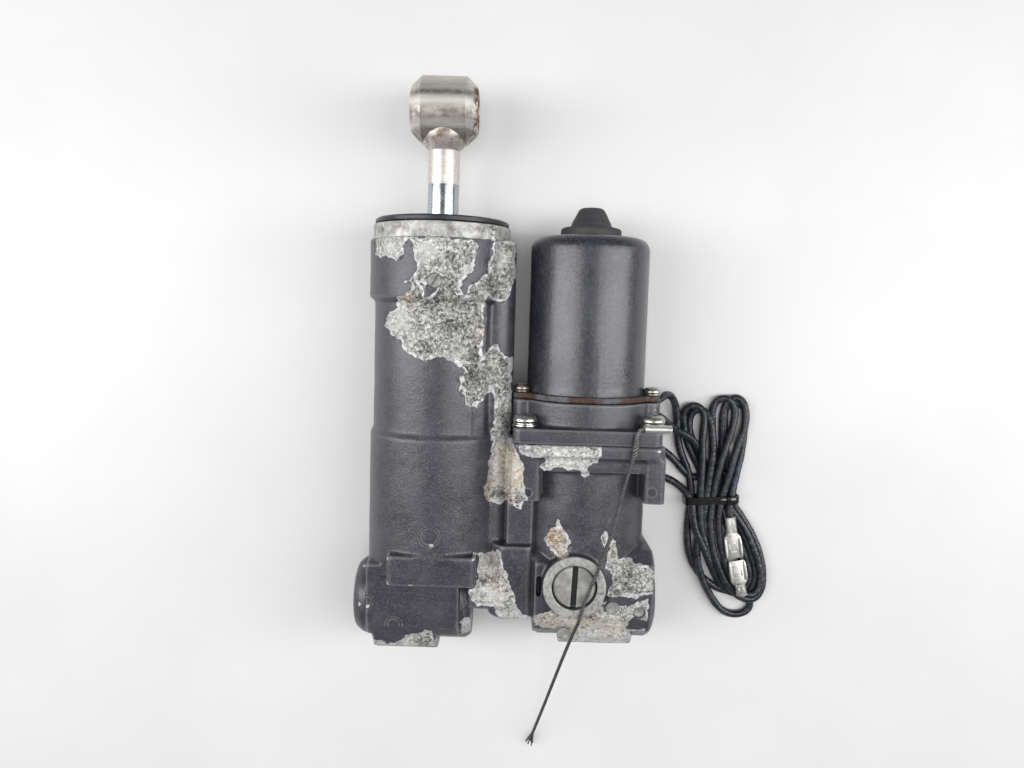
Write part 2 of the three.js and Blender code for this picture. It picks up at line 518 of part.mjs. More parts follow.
// ---- Fasteners ---------------------------------------------------------------------------------
// A domed pan-head screw with a captive washer: it stands on the seat, with its shank below.
function panHeadScrew(place, seat, { headR, headHeight, washer, shankR, shankLength }) {
  const surface = seat + washer;
  const crown = arcPoints(headR - headHeight * 0.55, surface + headHeight * 0.45, headHeight * 0.55, 0, 90, 2);
  const profile = [[0, seat - shankLength], [shankR, seat - shankLength], [shankR, seat],
    [headR, seat], ...crown, [0, surface + headHeight]];
  return turned('y', place, profile, 14);
}
const M6 = { headR: 6, headHeight: 4.4, washer: 1.5, shankR: 2.9, shankLength: 19.5 };
const M4 = { headR: 4, headHeight: 3, washer: 0.6, shankR: 1.95, shankLength: 13 };
for (const screw of CORNER_SCREWS) {
  add(screw.name, panHeadScrew(screw, PLATE_TOP + GAP + screw.packing, M6), 'zinc_steel');
}
for (const screw of CAN_SCREWS) {
  add(screw.name, panHeadScrew(screw, CAN_FLANGE_TOP + GAP, M4), 'zinc_steel');
}

// ---- Motor leads, tied in a hank, and the earth wire -------------------------------------------
add('lead_grommet', cut(
  prism('x', roundedRectangle([-23.9, -13.3], [18, 28], 3, 3), 68, 80.2),
  earedDisc(36.4, -30, 0),
), 'black_rubber');

// Route of each lead's uncoiled stretch; between them the leads run in the hank.
const LEAD_ROUTES = {
  lead_positive: [
    [80.7, -16, 23], [82.4, -16, 23], [85.4, -13.4, 21], [88.4, -11, 17.4], [92.4, -11.6, 12], [96, -14.4, 8],
    [98.8, -18.7, 5.6], [100.3, -24, 4.4], [101.1, -30, 3.8], [101.4, -37, 3.2], [101.3, -43, 2.9], [101.2, -49.3, 2.7],
  ],
  lead_negative: [
    [80.7, -21.2, 23], [82.4, -21.3, 23], [85.4, -23.2, 22.3], [89, -26.4, 20], [93.5, -30, 16],
    [97.8, -33.2, 11.8], [100.4, -34.8, 9.9], [102.7, -35.9, 8.9],
  ],
};
const LEAD_STEPS = { lead_positive: 14, lead_negative: 10 };
for (const [name, route] of Object.entries(LEAD_ROUTES)) {
  add(name, sweptTube(route, LEAD_R, 8, LEAD_STEPS[name]), 'lead_sleeve');
}

const HANK_Z = [1.2, 11];
const hankOutline = [
  ...arcPoints(140.5, -131.5, 15, -120, 20, 7), [138.2, -75], [138.2, -68],
  ...arcPoints(128.5, -24, 11.5, 0, 150, 6),
  ...arcPoints(112.2, -29.5, 8, 60, 180, 5),
  [104.2, -49.7], [99.3, -49.7], [99.9, -66.6], [104.6, -68.2], [104.6, -75], [105.2, -100], [112, -122],
];
add('lead_hank', prism('z', hankOutline, ...HANK_Z), 'lead_sleeve');
add('cable_tie', cut(
  prism('y', roundedRectangle([103, 139.8], [0, 12.6], 2.5, 3), -74, -69.2),
  prism('y', roundedRectangle([104.3, 138.5], [0.9, 11.3], 0.2, 1), -80, -60),
), 'moulded_plastic');

// Flat crimp terminals that lie on the hank, tip to tip. Width and length run from the tip.
function spadeTerminal(tip, tail, crimpLength) {
  const along = new THREE.Vector2(tail[0] - tip[0], tail[1] - tip[1]).normalize();
  const across = new THREE.Vector2(-along.y, along.x);
  const end = 14.5 + crimpLength;
  const halfWidths = [[5.2, 0], [5.2, 13], [2.4, 17], [2, end]];
  const outline = [...halfWidths, ...halfWidths.map(([w, v]) => [-w, v]).reverse()].reverse();
  return prism('z', outline.map(([u, v]) => [
    tip[0] + across.x * u + along.x * v, tip[1] + across.y * u + along.y * v,
  ]), HANK_Z[1] + GAP, HANK_Z[1] + GAP + 2.4);
}
add('terminal_positive', spadeTerminal([134.9, -107.2], [130.6, -82.1], 10), 'zinc_steel');
add('terminal_negative', spadeTerminal([136.6, -108], [138.8, -127.5], 6), 'zinc_steel');

const FERRULE = { y: -22.9, z: 78.7 };
const FERRULE_X = [67.4, 80.7];
const terminalRing = [PLATE_TOP + GAP, PLATE_TOP + GAP + TERMINAL_THICKNESS];
add('earth_terminal', cut(
  join(
    rod('y', CORNER_SCREWS[1], 6.2, ...terminalRing, 20),
    block([69.6, 77.6], terminalRing, [66, 77.4]),
    rod('x', FERRULE, 2.15, ...FERRULE_X, 16),
  ),
  rod('y', CORNER_SCREWS[1], 3.2, -30, -20, 16),
  rod('x', FERRULE, 1.25, FERRULE_X[0] - 5, FERRULE_X[1] + 5, 12),
), 'zinc_steel');

const EARTH_WIRE_ROUTE = [
  [67.1, -22.9, 78.7], [64.9, -23.7, 78.6], [63.7, -26.2, 78.4], [63.4, -30, 78.2], [62.9, -35.2, 78],
  [58.2, -54.1, 77.9], [52.6, -77.8, 77.9], [46.9, -95.8, 77.9], [43.3, -105.5, 77.9], [40.6, -113.2, 77.9],
  [39.1, -119, 77.8], [37.9, -124.5, 76], [36.2, -133.2, 68.4], [33.2, -150, 55], [29, -172.4, 39.4],
  [24.8, -194.8, 24.2], [21.4, -212.6, 11.8], [19.4, -223, 4.6], [18, -229.6, 1.6],
];
add('earth_wire', sweptTube(EARTH_WIRE_ROUTE, ROPE_R, 8, 30), 'wire_rope');

export default part;
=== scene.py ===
import json
import math

import bmesh
import bpy
import numpy as np
from mathutils import Matrix, Vector


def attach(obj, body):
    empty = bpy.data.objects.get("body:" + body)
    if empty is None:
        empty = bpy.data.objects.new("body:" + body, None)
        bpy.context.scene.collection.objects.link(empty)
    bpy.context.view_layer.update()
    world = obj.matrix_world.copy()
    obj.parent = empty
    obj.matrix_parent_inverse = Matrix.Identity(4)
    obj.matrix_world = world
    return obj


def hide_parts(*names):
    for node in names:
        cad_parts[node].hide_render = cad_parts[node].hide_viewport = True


# Looks of an electro-hydraulic linear actuator that lies on its back on a pale table.
# Shapes are given in millimetres in the frame's axes and become metres in new_mesh().
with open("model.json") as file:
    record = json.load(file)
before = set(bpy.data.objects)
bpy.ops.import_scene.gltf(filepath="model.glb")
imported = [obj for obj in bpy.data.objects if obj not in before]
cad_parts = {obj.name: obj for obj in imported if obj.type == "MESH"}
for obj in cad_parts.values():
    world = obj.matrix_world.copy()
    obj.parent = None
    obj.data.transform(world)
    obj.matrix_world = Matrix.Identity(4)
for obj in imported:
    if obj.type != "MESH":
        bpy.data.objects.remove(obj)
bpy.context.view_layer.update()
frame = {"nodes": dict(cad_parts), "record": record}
MM = 0.001

# ---- Places that several pieces share -----------------------------------------------------------
# A centre is (x, z) for an axis along Y, (y, z) for one along X and (x, y) for one along Z.
AXIS_Z = 38.0
CYLINDER = (-38.7, AXIS_Z)
MOTOR = (40.8, AXIS_Z)
PIVOT = (-123.0, AXIS_Z)
EYE = (137.8, AXIS_Z)
VALVE = (35.6, -105.9)
BLEED = (-38.9, 47.3)
COLUMN = (-8.8, 49.0)


# ---- Camera -------------------------------------------------------------------------------------
CAMERA_PLACE = (-0.3, 32.0, 472.0)
CAMERA_LENS = 28.125
SENSOR_WIDTH = 36.0
CAMERA_TILT = math.radians(5.0)
CAMERA_ROLL = math.radians(1.7)


def add_camera():
    data = bpy.data.cameras.new("camera")
    data.sensor_width = SENSOR_WIDTH
    data.lens = CAMERA_LENS
    data.clip_start = 0.01
    camera = bpy.data.objects.new("camera", data)
    bpy.context.scene.collection.objects.link(camera)
    turn = Matrix.Rotation(CAMERA_ROLL, 4, "Z") @ Matrix.Rotation(-CAMERA_TILT, 4, "X")
    camera.matrix_world = Matrix.Translation(Vector(CAMERA_PLACE) * MM) @ turn
    bpy.context.scene.camera = camera


add_camera()


# ---- Mesh helpers -------------------------------------------------------------------------------
def new_object(name, data, material=None, body="housing"):
    piece = bpy.data.objects.new(name, data)
    bpy.context.scene.collection.objects.link(piece)
    if material is not None:
        data.materials.append(material)
    if body is not None:
        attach(piece, body)
    return piece


def shade(mesh, sharp_degrees=35):
    mesh.polygons.foreach_set("use_smooth", [True] * len(mesh.polygons))
    mesh.set_sharp_from_angle(angle=math.radians(sharp_degrees))
    mesh.update()


def new_mesh(name, shells):
    """One mesh from a list of (vertices in mm, faces)."""
    vertices, faces = [], []
    for shell_vertices, shell_faces in shells:
        first = len(vertices)
        vertices.extend([tuple(c * MM for c in v) for v in shell_vertices])
        faces.extend([tuple(first + i for i in face) for face in shell_faces])
    mesh = bpy.data.meshes.new(name)
    mesh.from_pydata(vertices, [], faces)
    work = bmesh.new()
    work.from_mesh(mesh)
    bmesh.ops.recalc_face_normals(work, faces=work.faces)
    work.to_mesh(mesh)
    work.free()
    return mesh


def add_piece(name, shells, material, body="housing", sharp=35):
    mesh = new_mesh(name, shells)
    shade(mesh, sharp)
    return new_object(name, mesh, material, body)


def on_axis(axis, centre, radius, angle, along):
    across, up = radius * math.cos(angle), radius * math.sin(angle)
    if axis == "x":
        return (along, centre[0] + across, centre[1] + up)
    if axis == "y":
        return (centre[0] + across, along, centre[1] + up)
    return (centre[0] + across, centre[1] + up, along)


def rounded(profile, radius, steps=3):
    """The profile with each inner corner turned into an arc of about that radius."""
    points = [np.array(p, float) for p in profile]
    out = [points[0]]
    for before, corner, after in zip(points, points[1:], points[2:]):
        to_before, to_after = before - corner, after - corner
        reach = min(radius, 0.45 * np.linalg.norm(to_before), 0.45 * np.linalg.norm(to_after))
        start = corner + to_before / max(np.linalg.norm(to_before), 1e-9) * reach
        end = corner + to_after / max(np.linalg.norm(to_after), 1e-9) * reach
        for i in range(steps + 1):
            t = i / steps
            out.append((1 - t) ** 2 * start + 2 * t * (1 - t) * corner + t * t * end)
    out.append(points[-1])
    return [tuple(p) for p in out]


def lathe(axis, centre, profile, segments=96):
    """A profile of (radius, place along the axis) turned about an axis. It ends on the axis or closes."""
    closed = np.allclose(profile[0], profile[-1])
    rows = profile[:-1] if closed else profile
    vertices, index = [], []
    for radius, along in rows:
        if radius < 1e-6:
            index.append([len(vertices)] * segments)
            vertices.append(on_axis(axis, centre, 0, 0, along))
        else:
            index.append(list(range(len(vertices), len(vertices) + segments)))
            turn = 2 * math.pi / segments
            vertices += [on_axis(axis, centre, radius, turn * i, along) for i in range(segments)]
    pairs = list(zip(index, index[1:]))
    if closed:
        pairs.append((index[-1], index[0]))
    faces = []
    for low, high in pairs:
        for i in range(segments):
            j = (i + 1) % segments
            corners = [low[i], low[j], high[j], high[i]]
            face = [c for k, c in enumerate(corners) if c != corners[k - 1]]
            if len(face) > 2:
                faces.append(face)
    return vertices, faces


def rod(axis, centre, radius, low, high, segments=96, edge=0.0):
    profile = [(0, low), (radius, low), (radius, high), (0, high)]
    return lathe(axis, centre, rounded(profile, edge) if edge else profile, segments)


def tube(axis, centre, inner, outer, low, high, segments=96, edge=0.0):
    profile = [(inner, low), (outer, low), (outer, high), (inner, high), (inner, low)]
    if edge:
        middle = (inner, (low + high) / 2)
        profile = rounded([middle, *profile[:-1], middle], edge)
    return lathe(axis, centre, profile, segments)


def rounded_rectangle(u, v, radius, steps=5):
    corners = [(u[1], v[0], -90), (u[1], v[1], 0), (u[0], v[1], 90), (u[0], v[0], 180)]
    points = []
    for cu, cv, start in corners:
        inside_u = cu - radius if cu == u[1] else cu + radius
        inside_v = cv - radius if cv == v[1] else cv + radius
        for i in range(steps + 1):
            angle = math.radians(start + 90 * i / steps)
            points.append((inside_u + radius * math.cos(angle), inside_v + radius * math.sin(angle)))
    return points


def prism(axis, outline, low, high, edge=0.0, segments=2):
    """An outline of (u, v) points run along an axis: (y, z) along x, (x, z) along y, (x, y) along z."""
    def corner(u, v, along):
        return {"x": (along, u, v), "y": (u, along, v), "z": (u, v, along)}[axis]

    count = len(outline)
    vertices = [corner(u, v, low) for u, v in outline] + [corner(u, v, high) for u, v in outline]
    faces = [list(range(count)), list(range(2 * count - 1, count - 1, -1))]
    faces += [[i, (i + 1) % count, count + (i + 1) % count, count + i] for i in range(count)]
    if not edge:
        return vertices, faces
    work = bmesh.new()
    made = [work.verts.new(v) for v in vertices]
    for face in faces:
        work.faces.new([made[i] for i in face])
    bmesh.ops.recalc_face_normals(work, faces=work.faces)
    sharp = [e for e in work.edges if e.calc_face_angle(0) > math.radians(40)]
    bmesh.ops.bevel(work, geom=sharp, offset=edge, segments=segments, profile=0.5, affect="EDGES",
                    clamp_overlap=True)
    work.verts.index_update()
    result = ([tuple(v.co) for v in work.verts], [[v.index for v in f.verts] for f in work.faces])
    work.free()
    return result


def block(x, y, z, edge=0.0):
    return prism("z", [(x[0], y[0]), (x[1], y[0]), (x[1], y[1]), (x[0], y[1])], z[0], z[1], edge)


def applied(piece):
    """Puts what a piece's modifiers give in the place of its mesh."""
    graph = bpy.context.evaluated_depsgraph_get()
    graph.update()
    mesh = bpy.data.meshes.new_from_object(piece.evaluated_get(graph))
    old = piece.data
    piece.modifiers.clear()
    piece.data = mesh
    mesh.name = old.name
    bpy.data.meshes.remove(old)
    return piece


def dress(piece, materials):
    """Gives the whole mesh the first of the materials."""
    mesh = piece.data
    mesh.materials.clear()
    for material in materials:
        mesh.materials.append(material)
    mesh.polygons.foreach_set("material_index", [0] * len(mesh.polygons))


def combined(piece, shells, operation):
    """Adds each closed shell to the piece (UNION) or takes it out (DIFFERENCE). The materials stay."""
    materials = list(piece.data.materials)
    tools = []
    for i, shell in enumerate(shells):
        tool = new_object(f"tool{i}", new_mesh(f"tool{i}", [shell]), None, None)
        step = piece.modifiers.new(f"step{i}", "BOOLEAN")
        step.operation = operation
        step.solver = "MANIFOLD"
        step.object = tool
        tools.append(tool)
    applied(piece)
    dress(piece, materials)
    for tool in tools:
        data = tool.data
        bpy.data.objects.remove(tool)
        bpy.data.meshes.remove(data)
    return piece


def cut_away(piece, cutters):
    return combined(piece, cutters, "DIFFERENCE")


def fused(name, shells, voxel, smoothing):
    """One skin round all the shells, with soft edges and fillets, as a casting or moulding has."""
    piece = new_object(name, new_mesh(name, shells), None, None)
    remesh = piece.modifiers.new("skin", "REMESH")
    remesh.mode = "VOXEL"
    remesh.voxel_size = voxel * MM
    smooth = piece.modifiers.new("soften", "SMOOTH")
    smooth.factor = 0.5
    smooth.iterations = smoothing
    applied(piece)
    dress(piece, [])
    return piece


def stand_in(piece, node):
    """Hides that CAD node, whose place the piece takes."""
    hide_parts(node)


def curve_points(points, spacing):
    """Places along a smooth curve through the points, about that far apart."""
    p = np.array(points, float)
    p = np.vstack([2 * p[0] - p[1], p, 2 * p[-1] - p[-2]])
    out = []
    for a, b, c, d in zip(p, p[1:], p[2:], p[3:]):
        count = max(1, int(round(np.linalg.norm(c - b) / spacing)))
        for i in range(count):
            t = i / count
            out.append(0.5 * (2 * b + (c - a) * t + (2 * a - 5 * b + 4 * c - d) * t * t
                              + (3 * b - a - 3 * c + d) * t ** 3))
    out.append(p[-2])
    return np.array(out)


def relaxed(points, rounds):
    """The same line with its kinks smoothed out. Its two ends stay."""
    p = points.copy()
    for _ in range(rounds):
        p[1:-1] = 0.5 * p[1:-1] + 0.25 * (p[:-2] + p[2:])
    return p


def run_along(points):
    """How far along the line each point is. The last number is the line's length."""
    return np.concatenate([[0.0], np.cumsum(np.linalg.norm(np.diff(points, axis=0), axis=1))])


def frames_along(points):
    """A unit tangent and two unit cross directions at each point, turning as little as they can."""
    tangents = np.gradient(points, axis=0)
    tangents /= np.linalg.norm(tangents, axis=1)[:, None]
    side = np.cross(tangents[0], (0.0, 0.0, 1.0))
    side /= np.linalg.norm(side)
    out = []
    for tangent in tangents:
        side = side - tangent * side.dot(tangent)
        side /= np.linalg.norm(side)
        out.append((tangent, side, np.cross(tangent, side)))
    return out


def swept(points, radius, sides=12):
    """A round tube along the points, closed at both ends. radius is one number or one for each point."""
    radii = np.broadcast_to(radius, len(points))
    vertices, faces = [], []
    for point, r, (_, side, up) in zip(points, radii, frames_along(points)):
        for i in range(sides):
            angle = 2 * math.pi * i / sides
            vertices.append(tuple(point + r * (math.cos(angle) * side + math.sin(angle) * up)))
    for row in range(len(points) - 1):
        for i in range(sides):
            j = (i + 1) % sides
            first = row * sides
            faces.append([first + i, first + j, first + sides + j, first + sides + i])
    faces.append(list(range(sides)))
    faces.append(list(range(len(vertices) - 1, len(vertices) - sides - 1, -1)))
    return vertices, faces


# ---- Node materials -----------------------------------------------------------------------------
class Look:
    """A procedural material being put together. Sizes of its detail are in millimetres."""

    def __init__(self, name, **fixed):
        self.material = bpy.data.materials.new(name)
        self.material.use_nodes = True
        self.tree = self.material.node_tree
        self.shader = self.tree.nodes["Principled BSDF"]
        self.place = self.add("ShaderNodeTexCoord").outputs["Object"]
        self.normal = None
        for key, value in fixed.items():
            self.shader.inputs[key.replace("_", " ")].default_value = value

    def add(self, kind, **settings):
        node = self.tree.nodes.new(kind)
        for key, value in settings.items():
            setattr(node, key, value)
        return node

    def put(self, socket, value):
        """Links a node's output to a socket, or sets the socket to a number or colour."""
        if isinstance(value, bpy.types.NodeSocket):
            self.tree.links.new(value, socket)
        elif isinstance(value, tuple):
            socket.default_value = (*value, 1.0) if len(socket.default_value) == 4 else value
        else:
            socket.default_value = value

    def stretched(self, x, y, z):
        node = self.add("ShaderNodeMapping")
        self.put(node.inputs["Vector"], self.place)
        node.inputs["Scale"].default_value = (x, y, z)
        return node.outputs["Vector"]

    def noise(self, size, detail=3.0, roughness=0.55, place=None, warp=0.0):
        node = self.add("ShaderNodeTexNoise")
        self.put(node.inputs["Vector"], place or self.place)
        node.inputs["Scale"].default_value = 1000.0 / size
        node.inputs["Detail"].default_value = detail
        node.inputs["Roughness"].default_value = roughness
        node.inputs["Distortion"].default_value = warp
        return node.outputs["Fac"]

    def cells(self, size, feature, place):
        node = self.add("ShaderNodeTexVoronoi", feature=feature)
        self.put(node.inputs["Vector"], place)
        node.inputs["Scale"].default_value = 1000.0 / size
        return node.outputs["Distance"]

    def attribute(self, name, output="Fac"):
        return self.add("ShaderNodeAttribute", attribute_name=name).outputs[output]

    def parts(self, vector):
        """The x, y and z of a vector."""
        node = self.add("ShaderNodeSeparateXYZ")
        self.put(node.inputs[0], vector)
        return node.outputs

    def math(self, operation, a, b, clamp=False):
        node = self.add("ShaderNodeMath", operation=operation, use_clamp=clamp)
        self.put(node.inputs[0], a)
        self.put(node.inputs[1], b)
        return node.outputs[0]

    def times(self, a, b, clamp=False):
        return self.math("MULTIPLY", a, b, clamp)

    def plus(self, a, b, clamp=False):
        return self.math("ADD", a, b, clamp)

    def minus(self, a, b):
        return self.math("SUBTRACT", a, b)

    def steps(self, value, *stops):
        """A ramp of (position, colour) stops."""
        node = self.add("ShaderNodeValToRGB")
        self.put(node.inputs["Fac"], value)
        ramp = node.color_ramp
        while len(ramp.elements) < len(stops):
            ramp.elements.new(0.5)
        for element, (position, colour) in zip(ramp.elements, stops):
            element.position = position
            element.color = (*colour, 1.0)
        return node.outputs["Color"]

    def span(self, value, low, high, to_low=0.0, to_high=1.0):
        node = self.add("ShaderNodeMapRange", clamp=True)
        for socket, item in zip(node.inputs, (value, low, high, to_low, to_high)):
            self.put(socket, item)
        return node.outputs["Result"]

    def band(self, value, rise, fall):
        """One between two ramps, each from its first number to its second, and zero outside them."""
        return self.times(self.span(value, *rise), self.span(value, *fall, 1.0, 0.0))

    def vary(self, noise, to_low=0.0, to_high=1.0):
        """Goes from one number to the other over the middle of a noise's range."""
        return self.span(noise, 0.3, 0.7, to_low, to_high)

    def mix(self, factor, a, b):
        node = self.add("ShaderNodeMix", data_type="RGBA")
        self.put(node.inputs[0], factor)
        self.put(node.inputs[6], a)
        self.put(node.inputs[7], b)
        return node.outputs[2]

    def bump(self, height, distance):
        """Distance is how far white stands above black, in millimetres."""
        node = self.add("ShaderNodeBump")
        self.put(node.inputs["Height"], height)
        node.inputs["Distance"].default_value = distance * MM
        node.inputs["Strength"].default_value = 1.0
        if self.normal is not None:
            self.put(node.inputs["Normal"], self.normal)
        self.normal = node.outputs["Normal"]

    def done(self, colour, roughness, metallic=None):
        self.put(self.shader.inputs["Base Color"], colour)
        self.put(self.shader.inputs["Roughness"], roughness)
        if metallic is not None:
            self.put(self.shader.inputs["Metallic"], metallic)
        if self.normal is not None:
            self.put(self.shader.inputs["Normal"], self.normal)
        return self.material


def grained(name, dark, light, grain, roughness, metallic=0.0, bump=0.02, mottle=12.0):
    """A plain finish: fine grain, slow mottling between two colours, and roughness that follows both."""
    look = Look(name, Metallic=metallic)
    fine = look.noise(grain, 4.0)
    slow = look.noise(mottle, 3.0)
    colour = look.mix(look.span(slow, 0.35, 0.65), dark, light)
    colour = look.mix(look.vary(fine, 0.0, 0.35), colour, dark)
    look.bump(fine, bump)
    rough = look.vary(slow, roughness, roughness + 0.08)
    return look.done(colour, look.plus(look.vary(fine, -0.06, 0.06), rough))


def turned_metal(name, dark, light, roughness, stretch, stain=None, stain_size=5.0, grain=0.6, bump=0.008):
    """Machined metal with tool marks drawn out along the stretched axes, and stains."""
    look = Look(name, Metallic=1.0)
    marks = look.noise(grain, 5.0, 0.65, look.stretched(*stretch))
    broad = look.noise(4.0, 3.0, 0.5, look.stretched(*stretch))
    blotch = look.noise(stain_size, 4.0)
    colour = look.mix(look.vary(marks), dark, light)
    colour = look.mix(look.span(broad, 0.4, 0.7, 0.0, 0.35), colour, dark)
    if stain is not None:
        colour = look.mix(look.span(blotch, 0.6, 0.74, 0.0, 0.75), colour, stain)
    look.bump(marks, bump)
    rough = look.span(blotch, 0.4, 0.8, roughness, roughness + 0.18)
    return look.done(colour, look.plus(look.vary(marks, 0.0, 0.14), rough))


PAINT_DARK = (0.022, 0.022, 0.028)
PAINT_LIGHT = (0.040, 0.039, 0.049)
PAINT_SPECK = (0.115, 0.115, 0.127)


def painted(look):
    """Colour of the slate-grey paint with painted highlight on outer edges and painted shade in corners, and
    the fine and the slow noise that it is made from.
    """
    fine = look.noise(0.95, 4.0, 0.65)
    slow = look.noise(13.0, 4.0, 0.6)
    colour = look.mix(look.span(slow, 0.35, 0.68), PAINT_DARK, PAINT_LIGHT)
    colour = look.mix(look.span(fine, 0.50, 0.70, 0.0, 0.55), colour, PAINT_SPECK)
    # Painted highlight on outer edges and painted shade in the corners, from how sharply the surface bends
    # there.
    edge = look.attribute("edge")
    colour = look.mix(look.span(edge, 0.15, 0.70, 0.0, 0.45), colour, (0.17, 0.17, 0.18))
    colour = look.mix(look.span(edge, -0.60, -0.12, 0.6, 0.0), colour, (0.010, 0.010, 0.012))
    return colour, fine, slow


def casting_paint():
    """Slate paint, worn through to corroded metal where the attribute "wear" is below zero."""
    look = Look("casting_paint")
    colour, fine, slow = painted(look)
    wear = look.attribute("wear")
    orange, pale, dark = look.parts(look.attribute("tint", "Vector"))

    # Signed distance to the edge of the paint, made ragged: below zero the metal is bare.
    wide = look.span(look.noise(5.0, 3.0, 0.55), 0.25, 0.75, -1.5, 1.5)
    close = look.span(look.noise(1.6, 2.0), 0.25, 0.75, -0.35, 0.35)
    edge = look.plus(look.plus(wear, wide), close)
    bare = look.span(edge, -0.12, 0.12, 1.0, 0.0)
    deeper = look.plus(edge, look.vary(look.noise(2.4, 3.0), -1.8, 1.8))
    inner = look.span(deeper, -2.0, -1.5, 1.0, 0.0)

    # Bare metal: white oxide at the rim, and a black, grey and white crust inside.
    crust = look.noise(1.6, 6.0, 0.74, warp=0.8)
    crust = look.plus(crust, look.vary(look.noise(9.0, 3.0), -0.05, 0.07))
    crust = look.plus(crust, look.times(pale, 0.13))
    crust = look.minus(crust, look.times(dark, 0.07))
    grains = look.steps(crust, (0.36, (0.030, 0.029, 0.027)), (0.44, (0.13, 0.127, 0.12)),
                        (0.50, (0.29, 0.285, 0.268)), (0.56, (0.47, 0.465, 0.445)),
                        (0.64, (0.70, 0.695, 0.68)))
    rim = look.steps(look.noise(2.2, 5.0, 0.6), (0.30, (0.20, 0.20, 0.20)), (0.44, (0.36, 0.36, 0.36)),
                     (0.62, (0.52, 0.52, 0.52)))
    metal = look.mix(inner, rim, grains)
    chalky = look.times(pale, look.span(look.noise(4.0, 4.0), 0.42, 0.60, 0.0, 0.75), clamp=True)
    metal = look.mix(chalky, metal, (0.40, 0.40, 0.395))
    rust = look.times(orange, look.span(look.noise(2.2, 4.0), 0.35, 0.6), clamp=True)
    rusty = look.steps(crust, (0.4, (0.05, 0.028, 0.012)), (0.5, (0.36, 0.20, 0.07)),
                       (0.62, (0.62, 0.50, 0.30)))
    metal = look.mix(rust, metal, rusty)

    look.bump(look.noise(9.0, 2.0), 0.12)
    look.bump(look.times(fine, look.minus(1.0, bare)), 0.15)
    look.bump(look.times(crust, look.times(bare, inner)), 1.0)
    look.bump(look.minus(1.0, bare), 0.2)
    roughness = look.plus(look.vary(slow, 0.30, 0.38), look.times(bare, 0.22))
    metallic = look.times(bare, 0.45)
    return look.done(look.mix(bare, colour, metal), roughness, metallic)


def base_paint():
    """The same paint on the motor base, with small chips."""
    look = Look("base_paint")
    colour, fine, slow = painted(look)
    chips = look.span(look.noise(3.0, 4.0, 0.6), 0.71, 0.73)
    look.bump(look.noise(9.0, 2.0), 0.12)
    look.bump(fine, 0.14)
    return look.done(look.mix(chips, colour, (0.42, 0.42, 0.42)), look.vary(slow, 0.28, 0.36))


def can_paint():
    """Semi-gloss paint that sagged in long vertical drops."""
    look = Look("can_paint", Coat_Weight=0.15, Coat_Roughness=0.25)
    grain = look.noise(1.3, 5.0, 0.7)
    sag = look.noise(5.0, 2.0, 0.5, look.stretched(1.0, 0.12, 1.0))
    slow = look.noise(16.0, 3.0)
    colour = look.mix(look.vary(slow), (0.012, 0.013, 0.018), (0.024, 0.025, 0.032))
    colour = look.mix(look.span(grain, 0.50, 0.70, 0.0, 0.6), colour, (0.085, 0.086, 0.096))
    look.bump(sag, 0.14)
    look.bump(grain, 0.16)
    return look.done(colour, look.vary(slow, 0.24, 0.32))


def rusty_flange():
    """The can's flange: paint gone in stretches, down to brown rust and grey steel."""
    look = Look("rusty_flange")
    patch = look.noise(17.0, 3.0, 0.6)
    fine = look.noise(1.0, 5.0, 0.65)
    rust = look.steps(fine, (0.35, (0.010, 0.005, 0.004)), (0.52, (0.034, 0.014, 0.008)),
                      (0.68, (0.13, 0.055, 0.026)))
    steel = look.steps(fine, (0.35, (0.025, 0.025, 0.030)), (0.62, (0.11, 0.11, 0.12)))
    look.bump(fine, 0.12)
    return look.done(look.mix(look.span(patch, 0.45, 0.53), steel, rust), look.vary(fine, 0.5, 0.8))


def machined_band():
    """Bare turned aluminium with dull blotches and thin pale veins of corrosion."""
    look = Look("machined_band", Metallic=0.45)
    marks = look.noise(0.5, 4.0, 0.6, look.stretched(0.15, 1.0, 0.15))
    blotch = look.noise(4.5, 5.0, 0.62)
    veins = look.cells(5.0, "DISTANCE_TO_EDGE", look.stretched(1.0, 0.8, 1.0))
    vein = look.times(look.span(veins, 0.0, 0.05, 1.0, 0.0), look.span(look.noise(6.0), 0.44, 0.54))
    colour = look.steps(blotch, (0.34, (0.13, 0.127, 0.12)), (0.46, (0.29, 0.283, 0.27)),
                        (0.60, (0.44, 0.435, 0.42)))
    colour = look.mix(look.vary(marks, 0.0, 0.35), colour, (0.27, 0.265, 0.255))
    colour = look.mix(look.times(vein, 0.7), colour, (0.62, 0.61, 0.59))
    look.bump(marks, 0.02)
    look.bump(vein, -0.05)
    return look.done(colour, look.vary(blotch, 0.62, 0.48))


def crusted_ring():
    """The machined face round the release valve, dulled and pitted."""
    look = Look("crusted_ring", Metallic=0.6)
    grit = look.noise(1.6, 5.0, 0.65)
    blotch = look.noise(4.5, 4.0)
    colour = look.steps(grit, (0.32, (0.10, 0.098, 0.095)), (0.44, (0.27, 0.265, 0.255)),
                        (0.64, (0.44, 0.435, 0.42)))
    colour = look.mix(look.span(blotch, 0.45, 0.62, 0.0, 0.7), colour, (0.34, 0.335, 0.32))
    look.bump(grit, 0.10)
    return look.done(colour, look.vary(grit, 0.5, 0.66))


